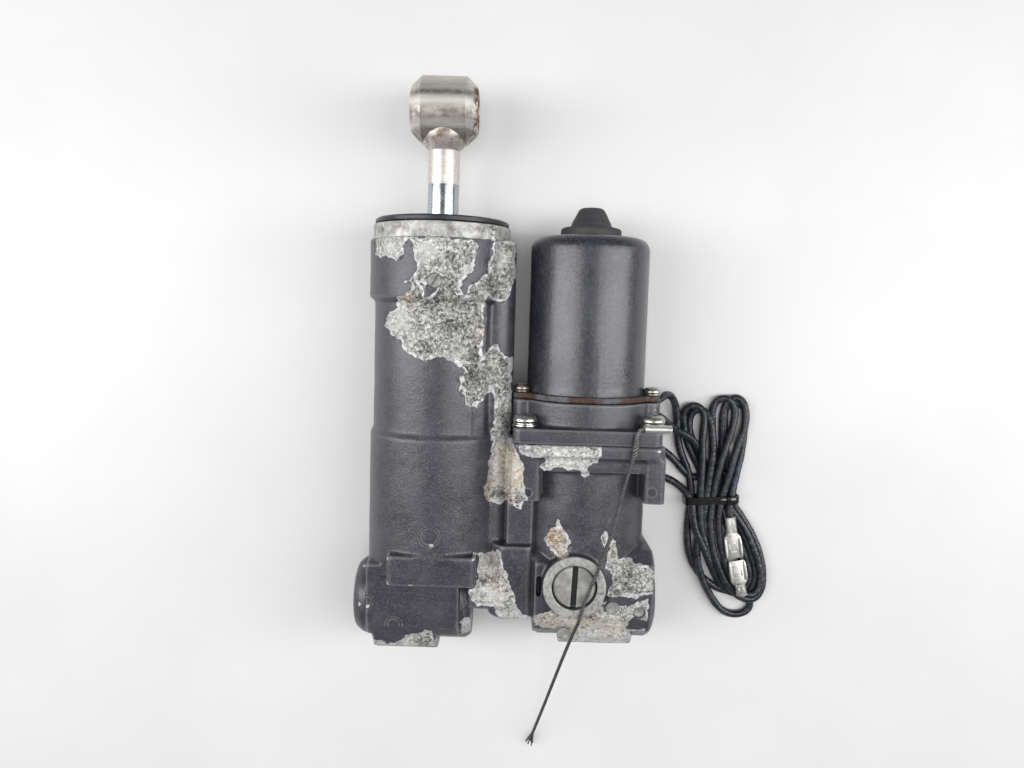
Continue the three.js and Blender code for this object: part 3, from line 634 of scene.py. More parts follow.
def lead_sleeve():
    """Satin black sleeve with fine wrinkles across the lead."""
    look = Look("lead_sleeve", Specular_IOR_Level=0.5)
    along = look.attribute("along")
    place = look.add("ShaderNodeCombineXYZ")
    look.put(place.inputs[0], look.times(along, MM))
    look.put(place.inputs[1], look.times(look.attribute("around"), 0.0012))
    wrinkle = look.noise(2.4, 4.0, 0.65, place.outputs[0])
    slow = look.noise(14.0, 3.0)
    colour = look.mix(look.vary(slow), (0.007, 0.008, 0.011), (0.017, 0.019, 0.024))
    colour = look.mix(look.span(wrinkle, 0.54, 0.70, 0.0, 0.65), colour, (0.066, 0.071, 0.083))
    for attribute, dye in (("blue_dye", (0.012, 0.020, 0.14)), ("green_dye", (0.02, 0.12, 0.07))):
        ragged = look.span(look.noise(1.6, 3.0), 0.50, 0.58)
        spotted = look.times(look.attribute(attribute), ragged)
        colour = look.mix(spotted, colour, dye)
    look.bump(wrinkle, 0.60)
    return look.done(colour, look.vary(wrinkle, 0.22, 0.40))


def wire_strands():
    """Tinned copper strands, each as bright as its attribute says, under grey grime."""
    look = Look("wire_strands", Metallic=0.85)
    grime = look.noise(7.0, 4.0, 0.6)
    fine = look.noise(0.4, 3.0)
    colour = look.mix(look.attribute("strand"), (0.035, 0.035, 0.037), (0.34, 0.335, 0.33))
    colour = look.mix(look.span(grime, 0.45, 0.65, 0.0, 0.6), colour, (0.07, 0.07, 0.072))
    look.bump(fine, 0.03)
    colour = look.mix(look.span(fine, 0.5, 0.7, 0.0, 0.3), colour, (0.27, 0.27, 0.275))
    return look.done(colour, look.vary(fine, 0.35, 0.55))


def clear_sleeve():
    """Hazy clear plastic over the terminals' crimps."""
    look = Look("clear_sleeve", Transmission_Weight=0.85, IOR=1.45)
    haze = look.noise(2.0, 4.0)
    look.bump(look.noise(1.2, 3.0), 0.05)
    colour = look.steps(haze, (0.3, (0.80, 0.80, 0.78)), (0.7, (0.93, 0.93, 0.92)))
    return look.done(colour, look.vary(haze, 0.12, 0.3))


def eye_steel():
    """Warm machined steel with stained bands across the eye, some darkened by painted dark reflection, a
    painted highlight band above the pin, and rust by the neck.
    """
    look = Look("eye_steel", Metallic=0.75)
    across, along, _ = look.parts(look.place)
    marks = look.noise(1.2, 5.0, 0.65, look.stretched(0.12, 1.0, 1.0))
    mottle = look.noise(4.0, 5.0, 0.62)
    colour = look.mix(look.vary(marks), (0.45, 0.42, 0.385), (0.68, 0.645, 0.60))

    # The ramps of a band are places along the cylinder, in metres.
    # Dark brown bands over and above the pin: brown stain and painted dark reflection.
    over_pin = look.band(along, (0.1275, 0.1315), (0.1345, 0.1385))
    above_pin = look.band(along, (0.1415, 0.1430), (0.1440, 0.1460))
    stain = look.times(look.plus(over_pin, above_pin, True), look.span(mottle, 0.35, 0.6, 0.35, 1.0))
    colour = look.mix(look.times(stain, 0.85), colour, (0.14, 0.118, 0.10))
    arch = look.times(look.band(along, (0.1200, 0.1225), (0.1258, 0.1275)),
                      look.span(mottle, 0.3, 0.6, 0.45, 0.8))
    colour = look.mix(arch, colour, (0.22, 0.20, 0.175))
    # A pale band just above the pin's centre: painted highlight.
    painted_highlight_band = look.times(look.band(along, (0.1372, 0.1390), (0.1402, 0.1420)),
                        look.span(mottle, 0.3, 0.6, 0.7, 0.4))
    colour = look.mix(painted_highlight_band, colour, (0.95, 0.92, 0.88))
    by_neck = look.band(along, (0.1165, 0.119), (0.1245, 0.127))
    by_bush = look.span(across, -0.0240, -0.0222)
    rust = look.plus(look.times(by_neck, 0.6), by_bush, True)
    rust = look.times(rust, look.span(mottle, 0.47, 0.58))
    rusty = look.steps(marks, (0.35, (0.07, 0.03, 0.015)), (0.65, (0.26, 0.15, 0.07)))
    colour = look.mix(rust, colour, rusty)
    look.bump(marks, 0.03)
    look.bump(mottle, 0.03)
    roughness = look.plus(look.vary(mottle, 0.36, 0.50), look.times(rust, 0.25))
    return look.done(colour, roughness)


# Each row is what grained() takes: dark, light, grain, roughness, metallic, bump, mottle.
GRAINED = {
    "nose_cap_rubber": ((0.020, 0.020, 0.022), (0.036, 0.036, 0.038), 0.5, 0.58, 0.0, 0.03),
    "end_cap_metal": ((0.022, 0.023, 0.025), (0.045, 0.046, 0.048), 0.6, 0.34, 0.5),
    "bush_plastic": ((0.020, 0.019, 0.018), (0.040, 0.038, 0.034), 0.8, 0.48),
    "seal_rubber": ((0.008, 0.008, 0.009), (0.018, 0.018, 0.019), 0.4, 0.55, 0.0, 0.04),
    "ferrite": ((0.020, 0.020, 0.021), (0.040, 0.039, 0.039), 0.5, 0.6, 0.0, 0.05),
    "carbon": ((0.012, 0.012, 0.013), (0.030, 0.030, 0.031), 0.4, 0.5, 0.0, 0.04),
    "tie_nylon": ((0.005, 0.005, 0.005), (0.010, 0.010, 0.011), 4.0, 0.14, 0.0, 0.01),
    "dull_plug": ((0.17, 0.168, 0.16), (0.34, 0.335, 0.325), 1.6, 0.52, 0.5, 0.16, 3.0),
    # Dark insert for a slot's floor: painted shade and packed grime.
    "slot_shade_and_grime": ((0.006, 0.006, 0.006), (0.014, 0.013, 0.012), 0.8, 0.7, 0.0, 0.06),
    "worn_steel": ((0.24, 0.235, 0.22), (0.46, 0.45, 0.43), 1.3, 0.42, 0.6, 0.03, 6.0),
}
# Each row is what turned_metal() takes: dark, light, roughness, stretch, stain, stain size, grain, bump.
TURNED = {
    "machined_steel": ((0.34, 0.33, 0.31), (0.56, 0.55, 0.52), 0.26, (0.3, 1.0, 0.3), (0.22, 0.18, 0.13)),
    "chrome_plate": ((0.34, 0.365, 0.39), (0.48, 0.505, 0.53), 0.12, (0.3, 1.0, 0.3), None, 8.0, 0.4, 0.002),
    "bronze": ((0.26, 0.16, 0.07), (0.48, 0.32, 0.15), 0.36, (1.0, 0.4, 0.4), (0.10, 0.05, 0.03), 3.0),
    "zinc_plate": ((0.36, 0.35, 0.325), (0.60, 0.585, 0.545), 0.2, (1.0, 1.0, 1.0), (0.34, 0.25, 0.16), 4.0),
    "rusted_zinc": ((0.30, 0.27, 0.22), (0.52, 0.48, 0.40), 0.26, (1.0, 1.0, 1.0), (0.16, 0.065, 0.02), 7.0),
    "bare_aluminium": ((0.38, 0.375, 0.36), (0.62, 0.615, 0.59), 0.36, (1.0, 1.0, 1.0), (0.20, 0.195, 0.18),
                       3.0, 0.9, 0.05),
    "laminated_steel": ((0.06, 0.06, 0.062), (0.17, 0.165, 0.16), 0.42, (0.1, 1.0, 0.1)),
    "copper_winding": ((0.24, 0.075, 0.02), (0.52, 0.20, 0.07), 0.3, (0.4, 0.4, 0.4)),
    "tinned_terminal": ((0.58, 0.57, 0.545), (0.74, 0.73, 0.70), 0.34, (0.5, 1.0, 1.0), (0.34, 0.30, 0.22),
                        4.0),
}
LOOKS = {make.__name__: make() for make in (
    casting_paint, base_paint, can_paint, rusty_flange, machined_band, crusted_ring, lead_sleeve,
    wire_strands, clear_sleeve, eye_steel)}
LOOKS.update({name: grained(name, *row) for name, row in GRAINED.items()})
LOOKS.update({name: turned_metal(name, *row) for name, row in TURNED.items()})


# ---- Motor leads and earth wire -----------------------------------------------------------------
# Radii of the leads and the wire, and the points that they follow. A lead keeps to its CAD tube first,
# and then winds through the space of the hank's CAD solid.
LEAD_R = 2.2
POSITIVE_ROUTE = [
    (79.4, -16, 23), (82.4, -16, 23), (85.4, -13.4, 21), (88.4, -11, 17.4), (92.4, -11.6, 12),
    (95.4, -14.8, 8), (97.6, -19.2, 5.6), (98.6, -24.5, 4.4), (99.0, -30, 3.8), (99.6, -37, 3.2),
    (101.4, -45, 2.9), (104.4, -51.5, 2.8), (107.1, -57.5, 2.8), (109.5, -68.5, 3.1), (109.5, -75, 3.2),
    (108.5, -84.5, 2.8), (108.5, -96.5, 2.5), (110.5, -109.5, 2.5), (115.5, -118.5, 2.5),
    (124, -126.5, 2.5), (134.5, -130.5, 2.5), (143.5, -129.5, 2.5), (147.5, -123, 2.5), (144, -109.5, 2.5),
    (138, -96, 2.6), (129, -84, 3), (123, -74.5, 3.2), (118, -65.5, 2.9), (113.5, -55.5, 2.6),
    (108.4, -46.5, 2.6), (105.0, -38.5, 2.6), (103.5, -31, 2.8), (102.5, -27, 3.3), (101.9, -22.4, 3.9),
    (104.8, -18.0, 4.6), (111.6, -18.0, 5.0), (114.8, -22.4, 5.6), (114.4, -29, 6.5), (113.4, -37, 7.6),
    (114, -48, 8), (114, -62, 7.8), (114, -74, 7.6), (114.5, -83, 7.6), (115.5, -91.5, 7.4),
    (119, -101.5, 7), (123, -113, 6), (128, -123.5, 4.5), (135, -130.5, 3), (142.5, -132.5, 2.6),
    (148.5, -129.5, 2.5), (151, -121.5, 2.5), (148, -109.5, 2.5), (142, -95.5, 2.6), (134.5, -83.5, 3),
    (129, -74.5, 3.2), (126, -65.5, 2.9), (124, -53.5, 2.6), (121.5, -42.5, 2.6), (120.2, -31.5, 2.6),
    (119.4, -22.5, 2.7), (119.8, -17, 3.2), (123.4, -13.0, 3.7), (128.8, -13.0, 4.3), (132.3, -17, 4.8),
    (132.6, -22.5, 5.4), (131.5, -29.5, 6.2), (129.5, -36, 7), (126.5, -45, 7.8), (124, -56, 8),
    (122, -65.5, 7.8), (121.5, -73.5, 7.6), (120.5, -83, 7.8), (121, -93, 8), (123, -104, 8),
    (127.5, -116, 8), (134.5, -127, 7.4), (143.5, -134, 6.4), (150.5, -134, 5.6), (154, -128, 5),
    (154.5, -118, 4.8), (151.5, -105, 4.6), (145, -91.5, 4.2), (137.5, -80.5, 3.6), (133.5, -74.5, 3.2),
    (132, -64.5, 2.8), (130, -51.5, 2.5), (128.2, -38.5, 2.5), (127.2, -27, 2.5), (126.4, -20.6, 2.5),
    (129.4, -15.8, 2.5), (136.2, -15.8, 2.5), (139.8, -20.4, 2.5), (139.4, -27, 2.6), (138, -45.5, 3.4),
    (135.5, -56.5, 5), (133.5, -65, 6.8), (132, -73.5, 7.6), (131, -77, 8.4), (130.6, -80.5, 9.6),
    (130.9, -83.5, 11.2),
]
NEGATIVE_ROUTE = [
    (79.4, -21.2, 23), (82.4, -21.3, 23), (85.4, -23.2, 22.3), (89, -26.4, 20), (93.5, -30, 16),
    (97.8, -33.2, 11.8), (102.7, -34.6, 8.9), (107.5, -37.5, 7.4), (112.5, -44, 5.2), (116, -52, 3.4),
    (116, -59.6, 2.6), (110.6, -62.8, 2.6), (105, -58.6, 2.6), (99, -51.6, 2.5), (93, -46.6, 2.5),
    (87.2, -43, 2.4), (81.3, -42.1, 2.4), (75.5, -42.8, 2.4), (70.3, -46.2, 2.4), (68.2, -51.2, 2.4),
    (70.2, -56.6, 2.4), (75.6, -59.6, 2.4), (82, -60.2, 2.4), (88.5, -60.6, 2.4), (95, -62.4, 2.5),
    (101.5, -66, 2.8), (106, -70, 5), (109, -74, 7.6), (110, -83, 7.6), (112, -92.5, 7.6),
    (116, -99.5, 7.4), (120, -108, 6.8), (125, -119, 5), (131, -127, 3.2), (139, -128.5, 2.6),
    (144, -124, 2.5), (142.5, -113.5, 2.5), (137, -99.5, 2.6), (130, -86.5, 3), (126, -74.5, 3.2),
    (126, -64.5, 2.9), (126.5, -51.5, 2.6), (126.5, -38.5, 2.6), (125.8, -27.5, 2.6), (126.2, -19.5, 2.9),
    (129, -13.4, 3.5), (134, -12.2, 4.2), (138, -16.4, 5), (139, -25, 5.8), (138, -32, 6.4),
    (135.5, -38, 6.8), (132.5, -47, 7.8), (130.5, -57.5, 8), (128, -67, 7.8), (126.5, -73.5, 7.6),
    (125.5, -82.5, 7.8), (126, -94.5, 8), (130, -110.5, 8), (135, -121.5, 7.8), (142, -130, 7),
    (148.5, -132, 6.2), (153, -126.5, 5.4), (153, -117, 5), (148.5, -104, 4.8), (142.5, -91.5, 4.4),
    (135, -81.5, 3.6), (130, -74.5, 3.2), (124.5, -65.5, 2.8), (118.5, -55.5, 2.5), (112, -45.5, 2.5),
    (107.3, -36.5, 2.6), (106, -29, 2.8), (106.6, -23.4, 3.4), (110.6, -19.2, 4.4), (115.6, -21.4, 5.8),
    (118.4, -28, 7), (119.2, -35, 7.8), (120, -44.5, 8), (119, -56, 8), (118, -65.5, 7.8),
    (117.5, -74, 7.6), (116.5, -83, 7.6), (114.5, -93.5, 6.6), (113.5, -103, 6), (115, -113.5, 5.4),
    (118.5, -123, 4.6), (124.5, -134, 3.4), (131.5, -142.5, 2.7), (140, -145, 2.5), (147, -142.5, 2.5),
    (149.5, -138, 2.6), (147, -133.5, 3.2), (144.2, -131, 5), (141.8, -129, 8), (140.2, -126.6, 11.2),
]
EARTH_ROUTE = [
    (71, -22.9, 78.7), (67.1, -22.9, 78.7), (64.9, -23.7, 78.6), (63.7, -26.2, 78.4), (63.4, -30, 78.2),
    (62.9, -35.2, 78), (58.2, -54.1, 77.9), (52.6, -77.8, 77.9), (46.9, -95.8, 77.9), (43.3, -105.5, 77.9),
    (40.6, -113.2, 77.9), (39.1, -119, 77.8), (37.9, -124.5, 76), (36.2, -133.2, 68.4), (33.2, -150, 55),
    (29, -172.4, 39.4), (24.8, -194.8, 24.2), (21.4, -212.6, 11.8), (19.4, -223, 4.6), (18, -229.6, 1.6),
]


# Blobs of dye left on the sleeves beside the tie: x, y, radius.
DYE_SPOTS = {"blue_dye": [(134.8, -52, 2.4), (134.0, -62, 2.2)], "green_dye": [(135.0, -77.5, 1.8)]}


def add_values(piece, name, values, kind="FLOAT", key="value"):
    """Puts one value, or one row of three, on each point of the piece's mesh."""
    attribute = piece.data.attributes.new(name, kind, "POINT")
    attribute.data.foreach_set(key, np.array(values, np.float32).ravel())


def add_lead(name, route, replaced):
    """A sleeved lead along its route, and the CAD nodes that it hides."""
    sides = 14
    line = relaxed(curve_points(route, spacing=1.3), rounds=18)
    swell = [LEAD_R * (1 + 0.03 * math.sin(0.9 * i) * math.sin(0.17 * i)) for i in range(len(line))]
    piece = add_piece(name, [swept(line, swell, sides)], LOOKS["lead_sleeve"], sharp=60)
    run = run_along(line)
    add_values(piece, "along", np.repeat(run, sides))
    add_values(piece, "around", np.tile(np.abs(np.linspace(-3.0, 3.0, sides)), len(line)))
    on_top = line[:, 2] > 4.0
    for dye, spots_of_dye in DYE_SPOTS.items():
        strength = np.zeros(len(line))
        for x, y, radius in spots_of_dye:
            away = np.hypot(line[:, 0] - x, line[:, 1] - y) / radius
            strength = np.maximum(strength, np.clip(1.5 - away, 0.0, 1.0))
        add_values(piece, dye, np.repeat(strength * on_top, sides))
    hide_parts(*replaced)


def along_line(tip, tail, z):
    """Gives a function that maps (across, along, up) from a tip to frame millimetres."""
    run = np.array([tail[0] - tip[0], tail[1] - tip[1]], float)
    run /= np.linalg.norm(run)

    def place(vertices):
        return [(tip[0] - run[1] * u + run[0] * v, tip[1] + run[0] * u + run[1] * v, z + w)
                for u, v, w in vertices]

    return place


def add_terminal(name, tip, tail, z, length, node):
    """A tin-plated push-on terminal, lying on the hank, and the clear sleeve over its crimp."""
    place = along_line(tip, tail, z)
    half = [(4.1, 0), (4.9, 0.9), (4.9, 12.2), (2.7, 15.6), (2.2, length)]
    outline = half + [(-u, v) for u, v in reversed(half)]
    shells = [prism("z", outline, 0, 0.8, 0.15)]
    for side in (-1, 1):
        curl = [(side * 4.35, v, 1.2) for v in np.linspace(0.6, 12.0, 8)]
        shells.append(swept(np.array(curl), [0.5, 0.85, 0.9, 0.9, 0.9, 0.9, 0.85, 0.5], 12))
        wing = [(side * 1.5, v, 1.3) for v in np.linspace(15.6, length - 0.4, 6)]
        shells.append(swept(np.array(wing), [0.7, 1.15, 1.2, 1.2, 1.15, 0.7], 12))
    frame_bars = [((-2.4, 2.4), (3.6, 4.2)), ((-2.4, 2.4), (8.8, 9.4)), ((-2.4, -1.8), (3.6, 9.4)),
                  ((1.8, 2.4), (3.6, 9.4))]
    shells += [block(across, along, (0.7, 1.15), 0.12) for across, along in frame_bars]
    placed_shells = [(place(vertices), faces) for vertices, faces in shells]
    terminal = add_piece(name, placed_shells, LOOKS["tinned_terminal"])
    stand_in(terminal, node)
    sleeve = tube("y", (0, 1.2), 2.7, 3.1, 13.4, length + 1.5, 32, 0.12)
    cover = add_piece(name + "_sleeve", [(place(sleeve[0]), sleeve[1])], LOOKS["clear_sleeve"])
    return [terminal, cover]


positive_end = add_terminal("terminal_tinned_positive", (135.2, -107.6), (130.9, -82.5), 10.4, 24.0,
                            "terminal_positive")
negative_end = add_terminal("terminal_tinned_negative", (136.2, -109.0), (139.8, -127.0), 10.6, 19.0,
                            "terminal_negative")
add_lead("sleeved_lead_positive", POSITIVE_ROUTE, ["lead_positive", "lead_hank"])
add_lead("sleeved_lead_negative", NEGATIVE_ROUTE, ["lead_negative"])


def add_earth_wire():
    """A rope of six strands, loose at its bend and frayed at its end."""
    sides = 7
    pitch = 5.5
    frayed = 9.0
    line = relaxed(curve_points(EARTH_ROUTE, spacing=0.7), rounds=4)
    run = run_along(line)
    cross = frames_along(line)
    total = run[-1]
    shells = []
    for strand in range(6):
        points = []
        for place, at, (_, side, up) in zip(line, run, cross):
            fray = max(0.0, (at - total + frayed) / frayed) ** 1.4
            knee = math.exp(-((at - 16.0) / 5.0) ** 2)
            reach = 0.58 + 0.55 * knee + fray * (1.1 + 0.45 * (strand % 3))
            angle = strand * math.pi / 3 + min(at, total - frayed) * 2 * math.pi / pitch
            points.append(place + reach * (math.cos(angle) * side + math.sin(angle) * up))
        points = np.array(points)
        points[:, 2] = np.maximum(points[:, 2], 0.45)
        shells.append(swept(points, 0.38, sides))
    piece = add_piece("stranded_earth_wire", shells, LOOKS["wire_strands"], sharp=60)
    # The strands are still bright from the terminal to the knee, and dull beyond it.
    brightness = np.outer([0.1, 1.0, 0.2, 0.8, 0.0, 0.9], np.clip((26.0 - run) / 8.0, 0.36, 1.0))
    add_values(piece, "strand", np.repeat(brightness.ravel(), sides))
    stand_in(piece, "earth_wire")


add_earth_wire()


def hollow_prism(outer, inner, low, high):
    """A band along Y between two outlines of (x, z) with the same number of points."""
    count = len(outer)
    vertices = []
    for outline in (outer, inner):
        for along in (low, high):
            vertices += [(u, along, v) for u, v in outline]
    faces = []
    for i in range(count):
        j = (i + 1) % count
        a, b, c, d = i, count + i, 2 * count + i, 3 * count + i
        e, f, g, h = j, count + j, 2 * count + j, 3 * count + j
        faces += [[a, e, f, b], [c, d, h, g], [a, c, g, e], [b, f, h, d]]
    return vertices, faces


def add_cable_tie():
    """A flat tie round the hank, a little askew, with its head and its cut tail on top."""
    outer = rounded_rectangle((104.6, 136.6), (0.1, 11.9), 3.6, 8)
    inner = rounded_rectangle((105.5, 135.7), (0.9, 11.0), 2.9, 8)
    band = hollow_prism(outer, inner, -75.6, -71.4)
    slanted = [(x, y + 0.07 * (x - 121), z) for x, y, z in band[0]]
    head = block((128.5, 133.5), (-75.4, -70.4), (10.8, 14.2), 0.6)
    tail = block((123.5, 129.0), (-74.8, -71.6), (11.7, 12.7), 0.3)
    piece = add_piece("hank_tie", [(slanted, band[1]), head, tail], LOOKS["tie_nylon"])
    stand_in(piece, "cable_tie")


add_cable_tie()


# ---- Casting ------------------------------------------------------------------------------------
# Outlines, from above, of the places where the paint is gone from the front of the casting.
BARE_PATCHES = [
    [(-51, 68.5), (-50, 62), (-47.5, 56), (-48, 50.5), (-53, 46.5), (-50.5, 45), (-51, 42.5), (-58, 38.5),
     (-58, 33.5), (-62.5, 31), (-65.5, 24.5), (-61, 19), (-55.5, 15.5), (-54, 11.5), (-48.5, 9.5),
     (-44, 7.5), (-36.5, 9.5), (-30.5, 8), (-23, 2.5), (-26, -0.5), (-25.5, -7), (-22.5, -14.5),
     (-16.5, -16), (-12, -9.5), (-9.5, -7.5), (-8, -12), (-8, -22), (-9.5, -28.5), (-9, -44.5), (3, -41),
     (1, -18.5), (0.5, 9), (-6, 14), (-8.5, 17), (-14.5, 10.5), (-15, 17), (-13.5, 23), (-15, 34),
     (-13, 40.5), (-9, 38.5), (-5, 37.5), (-2.5, 41), (1, 50.5), (1, 70), (-10, 69), (-12.5, 57.5),
     (-13.5, 52), (-21.5, 46), (-23, 39.5), (-27, 44), (-23.5, 49), (-19.5, 55.5), (-18, 65),
     (-21.5, 68.5)],
    [(-71.5, 69.5), (-70.5, 60), (-68, 58.5), (-65, 59), (-58.5, 56.5), (-55, 60.5), (-56, 63.5),
     (-52, 68.5)],
    [(-9, -28.5), (-9, -40), (-11, -46.5), (-10, -54), (-13, -56.5), (-12.5, -61), (-11, -66.5),
     (-5.5, -66), (-3, -67.5), (0.5, -65.5), (7, -68.5), (10.5, -60), (8.5, -56), (7, -41.5), (3.5, -34),
     (0, -33.5), (0, -29)],
    [(5, -32.5), (6.5, -38.5), (16.5, -39), (18.5, -41.5), (16.5, -44), (19, -47.5), (21.5, -45),
     (33.5, -45.5), (39, -49), (42.5, -47), (41, -44.5), (45, -41), (47.5, -36.5), (46.5, -31.5)],
    [(-14, -93), (-7.5, -93), (-4, -90.5), (-2, -96), (0, -101.5), (2.5, -107), (5.5, -114), (6, -121),
     (14, -125), (14, -127.5), (4, -127.5), (-4, -124.5), (-4.5, -122.5), (-14.5, -122), (-19.5, -115.5),
     (-14.5, -110)],
    [(26.5, -72.5), (24.5, -77), (22.5, -80), (20, -85), (24, -89.5), (28.5, -92.5), (31.5, -92.5),
     (32.5, -87.5), (32.5, -83), (29.5, -77.5)],
    [(50, -77), (48.5, -79.5), (49.5, -83.5), (51, -86), (52, -82.5), (52, -78.5)],
    [(55, -82.5), (53.5, -84.5), (52, -90), (52, -97.5), (55.5, -101), (56, -104.5), (53, -109.5),
     (53.5, -113.5), (79.5, -111), (79.5, -101.5), (74, -96), (66.5, -95.5), (68, -92), (63, -93),
     (58.5, -93), (57.5, -86.5)],
    [(20, -122), (16, -125.5), (16.5, -131), (29, -134.5), (29.5, -152), (70, -152), (67.5, -133.5),
     (74, -132), (75, -112.5), (66.5, -118), (53, -115)],
    [(-70, -143), (-65, -144), (-61.5, -146.5), (-57, -145.5), (-49, -139), (-45, -139.5), (-42, -136),
     (-38.5, -137), (-36.5, -142.5), (-35.5, -146.5), (-31.5, -144), (-35.5, -155.5), (-68, -155.5)],
    [(-22.5, -128.5), (-17, -130.5), (-16.5, -138.5), (-22.5, -141.5)],
]
PAINT_ISLANDS = [
    [(-47, 46.5), (-42.5, 45), (-38.5, 45), (-38, 43), (-41, 39.5), (-43.5, 39), (-44, 43.5)],
    [(65.5, -124), (74.5, -124.5), (74.5, -132.5), (65.5, -131.5)],
    [(55, -114.5), (58.5, -113), (66, -114), (66.5, -117.5), (60, -117)],
]
# Places that are stained orange, oxidised pale or scraped dark: x, y, radius, strength.
ORANGE_PLACES = [
    (-1, -42, 6, 0.7), (3, -50, 7, 0.7), (-4, -54, 5, 0.4), (2, -61, 4, 0.5), (-10, -57, 4, 0.6),
    (-52, 38.5, 4, 0.6), (-16, 22, 4, 0.3), (-11, -65, 3, 0.8), (24, -82, 6, 1.0), (28, -88, 5, 0.6),
    (-10, -100, 6, 0.25), (-4, -109, 7, 0.25), (56, -88, 5, 0.5), (40, -127, 9, 0.55), (25, -127, 8, 0.4),
    (58, -131, 8, 0.35),
]
PALE_PLACES = [
    (-60, 64, 9, 0.9), (-46, 62, 8, 0.8), (-30, 12, 7, 0.5), (-58, 30, 7, 1.0), (-24, 50, 5, 0.6),
    (70, -136, 10, 0.8), (45, -142, 12, 0.9), (60, -146, 10, 0.9), (-58, 26, 8, 0.6), (-6, 60, 6, 0.5),
    (30, -40, 14, 0.5), (-57, -149, 12, 0.6), (35, -135, 16, 0.6), (60, -136, 12, 0.7), (8, -125, 8, 0.9),
    (-19, -134, 6, 0.8), (-7, -115, 9, 0.6), (0, -46, 12, 0.9), (-9, -98, 8, 0.8),
]
DARK_PLACES = [
    (-40, 40, 9, 0.9), (-30, 36, 8, 0.6), (-32, 22, 9, 0.5), (-20, -2, 8, 0.4), (-10, 45, 6, 0.4),
    (-4, -4, 6, 0.4), (60, -104, 8, 0.4),
]
# Small chips on edges: x, y, radius.
CHIPS = [
    (-60.2, -93.6, 1.5), (-60.2, -107.2, 1.8), (-47.8, -107.9, 1.6), (-38.6, -86.6, 1.9),
    (-16.2, -93.0, 1.3), (-76.4, -106.5, 1.3), (-76.8, -124.6, 1.4), (-71.6, -124.0, 1.0),
    (75.4, -34.4, 1.6), (-26, -96, 0.9), (74.5, -110, 1.5),
]
# Outline (x, z) of the raised rib between the barrel and the oil gallery.
RIDGE = [(-21.4, 60), (-20.6, 68.2), (-19.6, 68.0), (-19.0, 67.2), (-13, 63.4), (-12.2, 61), (-12, 50)]
# Screws and plugs: name, x, z, place of the seat along Y; name, x, y, radius, height of the face.
CORNER_SCREWS = [
    ("front_left", 8, 66, -24.7), ("front_right", 73.6, 66, -23.4), ("back_left", 8, 10, -24.7),
    ("back_right", 73.6, 10, -24.7),
]
GALLERY_PLUGS = [
    ("upper", 56.1, -118.4, 3.5, 69.5), ("right", 70.6, -121.1, 3.0, 66), ("lower", 31.8, -134.6, 3.2, 65),
]
# Shallow rings that the casting die left: x, y, radius. Plain round dimples: x, y, radius, depth.
DIE_MARKS = [(-39, -82, 4.9), (-58.2, -133.5, 3.9), (-72.2, -120.5, 2.9)]
DIMPLES = [(10.2, -57.6, 2.0, 0.8), (72.9, -55.6, 2.2, 0.35)]
# Radii of the bushes in the two lower bosses.
BUSH = {"inner": 8.2, "outer": 11.3}


def casting_shells():
    """The closed shells that the casting's skin is wrapped round."""
    barrel = [(0, -106), (36.5, -106), (36.5, -33), (35, -30), (35, 37), (37.8, 39), (37.8, 68.8),
              (36.2, 68.9), (0, 68.9)]
    left_boss = [(0, -81.3), (15.2, -81.3), (17.8, -80.2), (20.4, -76.8), (21.8, -71.8), (22.2, -66),
                 (22.2, -21), (20, -17.5), (0, -17.5)]
    right_boss = [(0, 16.2), (20.5, 16.2), (22.4, 18.5), (22.4, 76.8), (20, 79.9), (16, 81.3), (0, 81.3)]
    left_body = [(-141, 56), (-134, 61.5), (-100, 64), (-100, 12), (-134, 15), (-141, 20)]
    left_heel = [(-136, 60), (-147.2, 56), (-151.9, 46), (-155.3, 38), (-155.3, 24), (-150, 16), (-136, 14)]
    valve_body = [(-133, 62), (-124, 67.5), (-96, 68.5), (-90, 60), (-90, 16), (-112, 12), (-133, 15),
                  (-138, 22), (-138, 54)]
    valve_heel = [(-130, 63), (-138, 60), (-142.4, 56), (-146.6, 46), (-150, 38), (-150, 24), (-145, 16),
                  (-130, 14)]
    return [
        # Cylinder side: barrel, oil gallery column, web, ridge and left boss.
        lathe("y", CYLINDER, barrel),
        rod("y", COLUMN, 10.2, -116, 69.6, 64),
        block((-22, 1.2), (-116, 69.6), (18, 49)),
        prism("y", rounded_rectangle((-20, -3), (30, 62), 4), -123.5, -100),
        block((-13.8, -9.4), (60, 76.3), (50, 64.2)),
        prism("y", RIDGE, -91, 68),
        prism("y", rounded_rectangle((-60.8, -15.3), (40, 74.8), 2.5), -108.2, -92.5),
        lathe("x", (-125, AXIS_Z), left_boss),
        prism("x", left_body, -73, -24),
        prism("x", left_heel, -69.9, -36.1),
        block((-64, -30), (-142, -96), (0, 20)),
        # Motor side: pump housing, flange and lugs, right boss and the valve's boss.
        rod("y", MOTOR, 33.8, -112, -32.9),
        prism("y", rounded_rectangle((1.3, 79.8), (0, 75.6), 6), -39.4, -32.9),
        prism("y", rounded_rectangle((5.5, 75.6), (6, 72.8), 9), -46.8, -39),
        prism("y", rounded_rectangle((1.3, 16.6), (55, 75), 2.5), -62, -39),
        prism("y", rounded_rectangle((69, 79.8), (55, 75), 2.5), -62, -39),
        block((0, 14), (-116, -39), (18, 63)),
        rod("y", (2.6, 55.5), 11.2, -126.9, -88, 48),
        prism("y", rounded_rectangle((-4, 13.7), (40, 67), 3), -126.4, -88),
        prism("x", valve_body, 15.4, 77.5),
        lathe("x", (-121, AXIS_Z), right_boss),
        prism("x", valve_heel, 30.5, 68.4),
        block((24, 70), (-138, -96), (0, 20)),
        rod("z", VALVE, 16.2, 50, 75.2),
    ]


